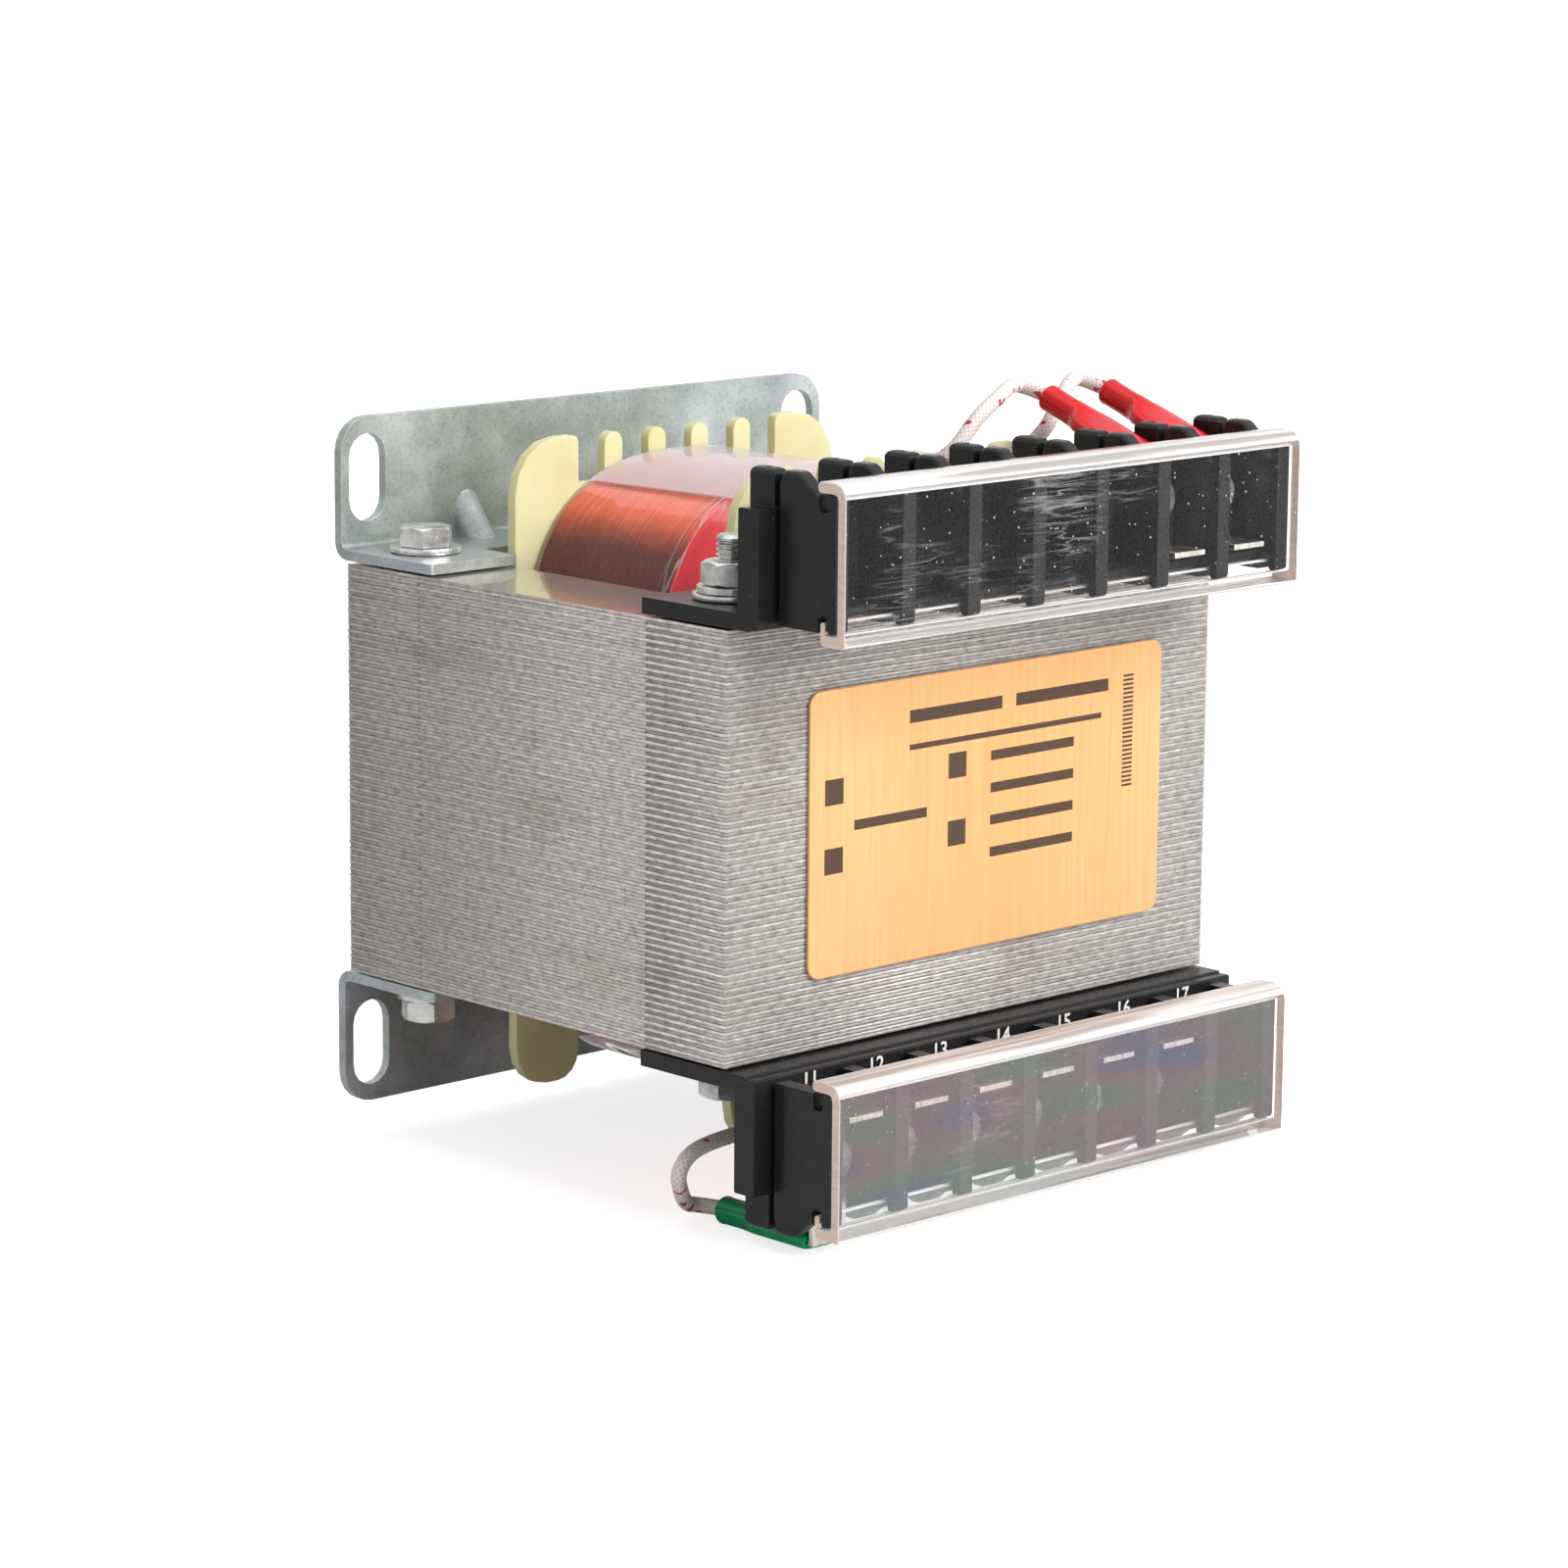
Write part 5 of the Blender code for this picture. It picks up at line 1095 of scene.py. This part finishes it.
def threaded_rod(length, thread_from, pitch):
    """Rod down from z = 0, plain and then with rings of thread to its chamfered end."""
    # A metric thread is 0.61 of its pitch deep, with a narrow flat on its crest and its root
    depth = 0.61 * pitch
    root = BOLT_RADIUS - depth
    profile = [(0.0, 0.0), (BOLT_RADIUS, 0.0), (BOLT_RADIUS, -thread_from)]
    z = thread_from
    while z + pitch < length - depth:
        profile += [(BOLT_RADIUS, -z), (BOLT_RADIUS, -z - 0.12 * pitch), (root, -z - 0.44 * pitch),
                    (root, -z - 0.62 * pitch), (BOLT_RADIUS, -z - 0.94 * pitch)]
        z += pitch
    profile += [(BOLT_RADIUS, -length + depth), (root, -length), (0.0, -length)]
    return turned_shape(profile, sides=28)


def ring_outline(outer, inner, split, sides):
    """Ring with a narrow split across it."""
    points = []
    for radius, order in ((outer, 1), (inner, -1)):
        half = math.asin(split / 2.0 / radius)
        sweep = 2.0 * (math.pi - half)
        arc = [half + sweep * side / sides for side in range(sides + 1)]
        points += [(radius * math.cos(a), radius * math.sin(a)) for a in arc[::order]]
    return points


class TRANSFORMER_OT_fasteners(bpy.types.Operator):
    """Core bolts with rolled thread, chamfered nuts and both kinds of washer"""
    bl_idname = "transformer.fasteners"
    bl_label = "Fasteners"

    def execute(self, context):
        look = context.scene.transformer_metal
        steel = [zinc_plated_screw_steel]
        rolls = random.Random(3)
        for place in ("rear_left", "rear_right", "front_left", "front_right"):
            turn = Matrix.Rotation(rolls.uniform(0.0, math.pi / 3.0), 4, "Z")
            node = "core_bolt_" + place
            low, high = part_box(node)
            middle = (low + high) / 2.0
            length = high.z - low.z - BOLT_HEAD
            if place.startswith("rear"):
                stand = Matrix.Translation((middle.x, middle.y, high.z - BOLT_HEAD)) @ turn
            else:
                stand = Matrix.Translation((middle.x, middle.y, low.z + BOLT_HEAD))
                stand = stand @ HALF_TURN @ turn
            shape = joined_shapes([
                hexagon(BOLT_HEAD, ["top"]),
                threaded_rod(length, length - THREAD_LENGTH, look.thread_pitch)])
            add_piece("bolt_" + place, put(shape, stand), steel,
                      [node], smooth=30.0)

            node = "core_nut_" + place
            low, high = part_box(node)
            turn = Matrix.Rotation(rolls.uniform(0.0, math.pi / 3.0), 4, "Z")
            stand = Matrix.Translation((middle.x, middle.y, low.z)) @ turn
            shape = hexagon(high.z - low.z, ["top", "bottom"], NUT_BORE)
            add_piece("nut_" + place, put(shape, stand), steel, [node],
                      smooth=30.0)

            for level in ("top", "bottom"):
                node = f"flat_washer_{place}_{level}"
                low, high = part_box(node)
                loops = [circle(0.0, 0.0, (high.x - low.x) / 2.0, 48),
                         circle(0.0, 0.0, WASHER_BORE, 28, -1.0)]
                shape = flat_shape(loops, high.z - low.z, WASHER_EDGE,
                                   Matrix.Translation((low + high) / 2.0), rounds=1)
                add_piece(f"washer_{place}_{level}", shape, steel, [node],
                          smooth=35.0, even=True)

            node = "spring_washer_" + place
            low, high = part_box(node)
            stand = Matrix.Translation((middle.x, middle.y, (low.z + high.z) / 2.0))
            stand = stand @ Matrix.Rotation(rolls.uniform(0.0, 2.0 * math.pi), 4, "Z")
            ring = ring_outline(LOCK_WASHER_RADIUS, WASHER_BORE, LOCK_WASHER_SPLIT, 40)
            shape = flat_shape([ring], high.z - low.z, LOCK_WASHER_EDGE, stand, rounds=1)
            add_piece("lock_washer_" + place, shape, steel, [node],
                      smooth=35.0, even=True)
        return {"FINISHED"}


def used_poles():
    """Level and number of each pole in use, read from the terminals in the frame."""
    for level in ("top", "bottom"):
        for pole in range(1, POLES + 1):
            if f"terminal_{level}_{pole}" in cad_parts:
                yield f"{level}_{pole}"


class TRANSFORMER_OT_terminals(bpy.types.Operator):
    """Stamped terminals and their slotted pan-head screws"""
    bl_idname = "transformer.terminals"
    bl_label = "Terminals"

    def execute(self, context):
        look = context.scene.transformer_metal
        rolls = random.Random(5)
        slot_width, slot_depth = SCREW_SLOT
        for place in used_poles():
            node = "terminal_" + place
            add_piece("tab_" + place, eased_node(node, look.terminal_edge), [tinned_brass],
                      [node], smooth=35.0, even=True)

            node = "terminal_screw_" + place
            low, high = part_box(node)
            middle = (low + high) / 2.0
            radius = (high.x - low.x) / 2.0
            depth = high.y - low.y
            head = SCREW_HEAD
            # The crown in shares of the head's radius and height, then the shank
            profile = [(0.0, 0.0), (0.55 * radius, -0.06 * head), (0.8 * radius, -0.22 * head),
                       (0.94 * radius, -0.5 * head), (radius, -0.8 * head), (radius, -head),
                       (SCREW_SHANK, -head), (SCREW_SHANK, -depth), (0.0, -depth)]
            slot = bmesh.new()
            bmesh.ops.create_cube(slot, size=1.0)
            bmesh.ops.scale(slot, vec=(4.0 * radius, slot_width, 2.0 * slot_depth),
                            verts=slot.verts)
            turn = Matrix.Rotation(rolls.uniform(0.0, math.pi), 4, "Z")
            stand = Matrix.Translation((middle.x, low.y, middle.z)) @ UPRIGHT @ turn
            shape = put(cut_away(turned_shape(profile, sides=36), [slot]), stand)
            add_piece("screw_" + place, shape, [zinc_plated_screw_steel],
                      [node], smooth=30.0)
        return {"FINISHED"}


# Sleeves and leads

class LeadSettings(bpy.types.PropertyGroup):
    """Sizes of the leads and of the sleeves on their connectors."""
    lead_radius: FloatProperty(name="Lead", description="Radius of a lead in its glass sleeving",
                               default=1.1 * MM, unit="LENGTH", precision=5)
    braid_pitch: FloatProperty(name="Braid", description="Rise of one rib of the braid",
                               default=0.8 * MM, unit="LENGTH", precision=5)
    sleeve_wall: FloatProperty(name="Sleeve wall", description="Thickness of a connector's sleeve",
                               default=0.45 * MM, unit="LENGTH", precision=5)


def squared_circle(half_width, half_height, power, sides=40):
    """Section of a sleeve: power 2 is an ellipse, more is squarer."""
    points = []
    for side in range(sides):
        turn = 2.0 * math.pi * side / sides
        c = math.cos(turn)
        s = math.sin(turn)
        points.append((math.copysign(abs(c) ** (2.0 / power), c) * half_width,
                       math.copysign(abs(s) ** (2.0 / power), s) * half_height))
    return points


# Along a sleeve in millimetres: distance from its mouth, half width, half height, and the power
# of its section
SLEEVE_STATIONS = (
    (0.0, 3.75, 1.0, 4.0), (0.3, 3.9, 1.1, 4.0), (2.5, 3.85, 1.12, 3.8), (9.6, 3.8, 1.15, 3.6),
    (11.2, 3.55, 1.3, 3.2), (12.4, 2.7, 1.7, 2.5), (13.4, 2.05, 1.95, 2.1), (14.0, 2.0, 2.0, 2.0),
    (15.2, 1.92, 1.92, 2.0), (18.6, 1.92, 1.92, 2.0), (19.3, 2.0, 2.0, 2.0), (19.6, 1.9, 1.9, 2.0),
)


def sleeve_shape(wall):
    """Sleeve along +Y from its flat mouth at 0: out over the stations and back inside."""
    rings = []
    for inset, stations in ((0.0, SLEEVE_STATIONS), (wall, SLEEVE_STATIONS[::-1])):
        for distance, half_width, half_height, power in stations:
            section = squared_circle(half_width * MM - inset, half_height * MM - inset, power)
            rings.append([Vector((x, distance * MM, z)) for x, z in section])
    return extruded_rings(rings, closed=True)


# Slot, vinyl and slope in degrees of each sleeve
SLEEVES = {
    "sleeve_red_6": ("red_sleeve", red_vinyl, 20.0),
    "sleeve_red_7": ("red_sleeve", red_vinyl, 20.0),
    "sleeve_green": ("green_sleeve", green_vinyl, 0.0),
}
SLEEVE_LENGTH = 19.6 * MM


class TRANSFORMER_OT_sleeves(bpy.types.Operator):
    """Vinyl sleeves over the push-on connectors"""
    bl_idname = "transformer.sleeves"
    bl_label = "Sleeves"

    def execute(self, context):
        look = context.scene.transformer_leads
        for node, (slot, build, slope) in SLEEVES.items():
            low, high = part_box(node)
            stand = Matrix.Translation((low + high) / 2.0)
            stand = stand @ Matrix.Rotation(math.radians(slope), 4, "X")
            stand = stand @ Matrix.Translation((0.0, -SLEEVE_LENGTH / 2.0, 0.0))
            add_piece(node.replace("sleeve", "vinyl_sleeve"),
                      put(sleeve_shape(look.sleeve_wall), stand), [build], [node],
                      smooth=50.0)
        return {"FINISHED"}


# Of each lead: the gap beside a tooth where it leaves the coil, millimetres over the core there,
# its pole and its sleeve
LEADS = {
    "lead_top_6": (1, 16.4, 6, "sleeve_red_6"),
    "lead_top_7": (2, 14.6, 7, "sleeve_red_7"),
    "lead_bottom_1": (-2, 13.8, 1, "sleeve_green"),
}
# Free stretches, listed: share of the way across from the exit to the pole, then
# millimetres in front of the coil former and over the core
LEAD_ROUTES = {
    "lead_top_6": ((0.07, 1.7, 18.4), (0.28, 2.9, 22.6), (0.55, 2.7, 25.2), (0.79, 1.1, 26.2),
                   (0.95, 0.7, 26.0)),
    "lead_top_7": ((0.16, 2.1, 15.6), (0.42, 3.4, 19.4), (0.62, 2.9, 23.4), (0.82, 1.1, 25.8),
                   (0.96, 0.4, 26.1)),
    "lead_bottom_1": ((0.14, 2.7, 13.9), (0.54, 4.7, 13.7), (0.98, 5.4, 13.4), (1.31, 5.7, 14.3),
                      (1.43, 5.5, 16.9), (1.34, 3.9, 20.3), (1.17, 1.3, 23.0), (1.04, 0.7, 23.9)),
}
# How far a lead reaches back into the coil, and the steps from one point of it to the next
EXIT_REACH = 4.3 * MM
ROUTE_STEPS = 12


def lead_knots(node):
    """The points that a lead passes, from inside the coil to its sleeve."""
    gap, rise, pole, _ = LEADS[node]
    way = -1.0 if "bottom" in node else 1.0
    exit_x = gap * TOOTH_PITCH
    exit_y = FORMER_FRONT + FLANGE_THICKNESS / 2.0
    exit_z = DATUM.z + way * (CORE_TOP + rise * MM)
    across = (pole - (POLES + 1) / 2.0) * POLE_PITCH - exit_x
    knots = [Vector((exit_x, exit_y + EXIT_REACH, exit_z)), Vector((exit_x, exit_y, exit_z))]
    for share, reach, height in LEAD_ROUTES[node]:
        knots.append(Vector((exit_x + share * across, FORMER_FRONT - reach * MM,
                             DATUM.z + way * (CORE_TOP + height * MM))))
    return knots


def smooth_route(knots, steps):
    """Points along a smooth curve through the given ones."""
    knots = [2.0 * knots[0] - knots[1]] + knots + [2.0 * knots[-1] - knots[-2]]
    route = []
    for index in range(1, len(knots) - 2):
        a, b, c, d = knots[index - 1:index + 3]
        for step in range(steps):
            t = step / steps
            route.append(0.5 * (2.0 * b + (c - a) * t + (2.0 * a - 5.0 * b + 4.0 * c - d) * t * t
                                + (3.0 * b - 3.0 * c + d - a) * t * t * t))
    route.append(knots[-2])
    return route


def tube_shape(route, radius, sides=20):
    """Round tube along a route, its UVs in metres along and in turns round."""
    rings = []
    across = Vector((0.0, 0.0, 1.0))
    travelled = [0.0]
    for index, point in enumerate(route):
        ahead = route[min(index + 1, len(route) - 1)] - route[max(index - 1, 0)]
        ahead.normalize()
        across = (across - ahead * across.dot(ahead)).normalized()
        other = ahead.cross(across)
        ring = []
        for side in range(sides):
            turn = 2.0 * math.pi * side / sides
            ring.append(point + (across * math.cos(turn) + other * math.sin(turn)) * radius)
        rings.append(ring)
        if index:
            travelled.append(travelled[-1] + (point - route[index - 1]).length)
    shape = extruded_rings(rings)
    layer = shape.loops.layers.uv.new("along")
    shape.verts.index_update()
    place = {vert.index: (travelled[vert.index // sides], vert.index % sides / sides)
             for vert in shape.verts}
    for face in shape.faces:
        turns = [place[loop.vert.index][1] for loop in face.loops]
        wraps = max(turns) - min(turns) > 0.5
        for loop, turn in zip(face.loops, turns):
            lifted = turn + 1.0 if wraps and turn < 0.5 else turn
            loop[layer].uv = (place[loop.vert.index][0], lifted)
    return shape


def sleeve_axis(node):
    """Rear end of a sleeve and the unit direction out of it."""
    low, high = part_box(node)
    slope = math.radians(SLEEVES[node][2])
    way = Vector((0.0, math.cos(slope), math.sin(slope)))
    return (low + high) / 2.0 + way * (SLEEVE_LENGTH / 2.0), way


class TRANSFORMER_OT_leads(bpy.types.Operator):
    """Leads in woven glass sleeving along their routes"""
    bl_idname = "transformer.leads"
    bl_label = "Leads"

    def execute(self, context):
        look = context.scene.transformer_leads
        for node in LEADS:
            end, way = sleeve_axis(LEADS[node][-1])
            knots = lead_knots(node)
            knots += [end + way * look.lead_radius, end - way * 2.0 * look.lead_radius]
            shape = tube_shape(smooth_route(knots, ROUTE_STEPS), look.lead_radius)
            add_piece(node.replace("lead", "braided_lead"), shape, [woven_glass_sleeving],
                      [node], smooth=60.0)
        return {"FINISHED"}


# Plate and printing

class PlateSettings(bpy.types.PropertyGroup):
    """Sizes and colours of the plate and of the printing."""
    plate_edge: FloatProperty(name="Plate edge", description="Rounding of the plate's rim",
                              default=0.15 * MM, unit="LENGTH", precision=5)
    ink_height: FloatProperty(name="Ink", description="How far the ink stands up",
                              default=0.03 * MM, unit="LENGTH", precision=5)
    figure_height: FloatProperty(name="Figures", description="Height of the poles' numbers",
                                 default=2.2 * MM, unit="LENGTH", precision=5)
    foil_colour: FloatVectorProperty(name="Foil", description="Brushed gold foil", size=3,
                                     subtype="COLOR", default=hex_colour("fbc286")[:3])


def print_bars():
    """Rectangles of the plate's print as shares of its width and height: x, y, width, height."""
    bars = [(0.27, 0.84, 0.26, 0.045), (0.57, 0.84, 0.27, 0.045), (0.27, 0.745, 0.55, 0.02)]
    for row in range(4):
        bars.append((0.50, 0.66 - 0.115 * row, 0.24, 0.035))
    bars += [(0.12, 0.50, 0.2, 0.035), (0.04, 0.60, 0.05, 0.09), (0.04, 0.36, 0.05, 0.09),
             (0.38, 0.62, 0.05, 0.09), (0.38, 0.38, 0.05, 0.09)]
    for step in range(26):
        bars.append((0.885, 0.48 + 0.016 * step, 0.03, 0.008))
    return bars


class TRANSFORMER_OT_plate(bpy.types.Operator):
    """Gold plate with a plain print of bars"""
    bl_idname = "transformer.plate"
    bl_label = "Plate"

    def execute(self, context):
        look = context.scene.transformer_plate
        low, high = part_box("nameplate")
        width, height = high.x - low.x, high.z - low.z
        rim = rounded_rectangle(-width / 2.0, -height / 2.0, width / 2.0, height / 2.0,
                                PLATE_CORNER)
        shape = flat_shape([rim], high.y - low.y, look.plate_edge,
                           Matrix.Translation((low + high) / 2.0) @ UPRIGHT, rounds=2)
        add_piece("gold_plate", shape, [brushed_gold_foil], ["nameplate"],
                  smooth=40.0, even=True)
        face = Matrix.Translation((low.x, low.y - look.ink_height / 2.0, low.z)) @ UPRIGHT
        printed = []
        for x, y, bar_width, bar_height in print_bars():
            bar = rectangle(width * x, height * y, width * (x + bar_width),
                            height * (y + bar_height))
            printed.append(flat_shape([bar], look.ink_height, look.ink_height / 4.0, face))
        add_piece("plate_print", joined_shapes(printed), [brown_ink])
        return {"FINISHED"}


class TRANSFORMER_OT_numbers(bpy.types.Operator):
    """Plain numbers of the poles, printed along the lower block"""
    bl_idname = "transformer.numbers"
    bl_label = "Numbers"

    def execute(self, context):
        look = context.scene.transformer_plate
        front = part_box("terminal_rail_bottom")[0].y - look.ink_height / 2.0
        figures = []
        for pole in range(POLES):
            text = bpy.data.curves.new("figures", "FONT")
            text.body = str(FIRST_FIGURE + pole)
            text.size = look.figure_height / FIGURE_SHARE
            text.align_x = "CENTER"
            text.extrude = look.ink_height / 2.0
            text.offset = FIGURE_BOLDNESS
            place = ((pole + 0.5 - POLES / 2.0) * POLE_PITCH, front, CORE_LOW.z - FIGURE_DROP)
            figures.append(put(curve_shape(text), Matrix.Translation(place) @ UPRIGHT))
        add_piece("pole_numbers", joined_shapes(figures), [white_ink])
        return {"FINISHED"}


# Stage

class StageSettings(bpy.types.PropertyGroup):
    """Levels of the studio's light."""
    world_level: FloatProperty(name="World", description="Level of the white surroundings",
                               default=0.32)
    key_power: FloatProperty(name="Key", description="Power of the main lamp", default=35.0,
                             unit="POWER")
    fill_power: FloatProperty(name="Fill", description="Power of the side lamp", default=0.6,
                              unit="POWER")
    top_power: FloatProperty(name="Top", description="Power of the lamp overhead", default=5.0,
                             unit="POWER")
    rim_power: FloatProperty(name="Rim", description="Power of the small lamp behind", default=0.4,
                             unit="POWER")


def seen_plainly(tree, *others):
    """1 for rays straight from the camera or through glass, and for the other kinds named."""
    seen = add_node(tree, "LightPath", output="Is Camera Ray")
    for kind in ("Is Transmission Ray", *others):
        seen = add_node(tree, "Math", {0: seen, 1: add_node(tree, "LightPath", output=kind)},
                        operation="MAXIMUM")
    return seen


def studio_white(level):
    """White surroundings, at this level for what they light and at 1 where they are seen."""
    world = bpy.data.worlds.new("studio")
    world.use_nodes = True
    tree = world.node_tree
    seen = seen_plainly(tree, "Is Glossy Ray")
    dress(tree, tree.nodes["Background"], Color=1.0,
          Strength=add_node(tree, "MapRange", {"Value": seen, "To Min": level, "To Max": 1.0}))
    return world


def pale_studio_floor(name):
    """Painted floor: matt and pale, and near white where it is seen and no shadow falls."""
    made, tree, surface, place = new_material(name)
    tone = mottle(tree, place, 80.0 * MM, 2.0, 0.5)
    glow = add_node(tree, "MapRange", {"Value": seen_plainly(tree), "To Min": 0.0, "To Max": 0.75})
    dress(tree, surface, Roughness=0.9, Specular_IOR_Level=0.1, Emission_Color=1.0,
          Emission_Strength=glow,
          Base_Color=add_node(tree, "ValToRGB", {"Fac": tone}, [(0.3, 0.82), (0.7, 0.84)]))
    return made


class TRANSFORMER_OT_stage(bpy.types.Operator):
    """Pale floor, soft lamps and the photograph's camera"""
    bl_idname = "transformer.stage"
    bl_label = "Stage"

    def execute(self, context):
        look = context.scene.transformer_stage
        scene = context.scene
        scene.view_settings.view_transform = "Standard"
        scene.world = studio_white(look.world_level)

        floor = bmesh.new()
        bmesh.ops.create_grid(floor, x_segments=2, y_segments=2, size=6.0,
                              matrix=Matrix.Translation((0.0, 0.0, FLOOR_Z)))
        ground = bpy.data.objects.new("floor", as_mesh(floor, "floor"))
        ground.data.materials.append(finish(pale_studio_floor))
        scene.collection.objects.link(ground)

        for name, place, size, power in (
                ("key", (0.25, -1.55, 0.85), 1.1, look.key_power),
                ("fill", (-1.5, -0.35, 0.5), 1.2, look.fill_power),
                ("overhead", (-0.1, 0.1, 1.4), 1.2, look.top_power),
                ("rim", (0.14, 0.92, 0.95), 0.28, look.rim_power)):
            lamp = bpy.data.lights.new(name, "AREA")
            lamp.shape = "SQUARE"
            lamp.size = size
            lamp.energy = power
            holder = bpy.data.objects.new(name, lamp)
            holder.location = place
            aim = DATUM - Vector(place)
            holder.rotation_euler = aim.to_track_quat("-Z", "Y").to_euler()
            scene.collection.objects.link(holder)

        lens = bpy.data.cameras.new("photograph")
        lens.lens = CAMERA_LENS
        lens.sensor_width = 36.0
        lens.clip_start = 0.01
        lens.clip_end = 20.0
        camera = bpy.data.objects.new("photograph", lens)
        camera.matrix_world = (Matrix.Translation(CAMERA_PLACE)
                               @ Matrix.Rotation(-CAMERA_AZIMUTH, 4, "Z")
                               @ Matrix.Rotation(math.pi / 2.0 - CAMERA_DIP, 4, "X")
                               @ Matrix.Rotation(CAMERA_ROLL, 4, "Z"))
        scene.collection.objects.link(camera)
        scene.camera = camera
        return {"FINISHED"}


# Panel and registration

SETTINGS = {
    "transformer_core": CoreSettings,
    "transformer_coil": CoilSettings,
    "transformer_mouldings": MouldingSettings,
    "transformer_metal": MetalSettings,
    "transformer_leads": LeadSettings,
    "transformer_plate": PlateSettings,
    "transformer_stage": StageSettings,
}
OPERATORS = (
    TRANSFORMER_OT_stage,
    TRANSFORMER_OT_core,
    TRANSFORMER_OT_windings,
    TRANSFORMER_OT_coil_former,
    TRANSFORMER_OT_brackets,
    TRANSFORMER_OT_fasteners,
    TRANSFORMER_OT_terminal_mouldings,
    TRANSFORMER_OT_terminals,
    TRANSFORMER_OT_sleeves,
    TRANSFORMER_OT_leads,
    TRANSFORMER_OT_covers,
    TRANSFORMER_OT_plate,
    TRANSFORMER_OT_numbers,
)


class TRANSFORMER_PT_finishes(bpy.types.Panel):
    """Lists the settings and the steps that model the finishes"""
    bl_idname = "TRANSFORMER_PT_finishes"
    bl_label = "Control Transformer"
    bl_space_type = "VIEW_3D"
    bl_region_type = "UI"
    bl_category = "Transformer"

    def draw(self, context):
        for operator in OPERATORS:
            self.layout.operator(operator.bl_idname)
        for name in SETTINGS:
            box = self.layout.box()
            group = getattr(context.scene, name)
            for prop in group.bl_rna.properties:
                if not prop.is_readonly and prop.identifier != "name":
                    box.prop(group, prop.identifier)


def register():
    for name, group in SETTINGS.items():
        bpy.utils.register_class(group)
        setattr(bpy.types.Scene, name, PointerProperty(type=group))
    for operator in OPERATORS:
        bpy.utils.register_class(operator)
    bpy.utils.register_class(TRANSFORMER_PT_finishes)


def unregister():
    bpy.utils.unregister_class(TRANSFORMER_PT_finishes)
    for operator in reversed(OPERATORS):
        bpy.utils.unregister_class(operator)
    for name, group in SETTINGS.items():
        delattr(bpy.types.Scene, name)
        bpy.utils.unregister_class(group)


def main():
    register()
    for operator in OPERATORS:
        group, step = operator.bl_idname.split(".")
        getattr(getattr(bpy.ops, group), step)()


if __name__ == "__main__":
    main()
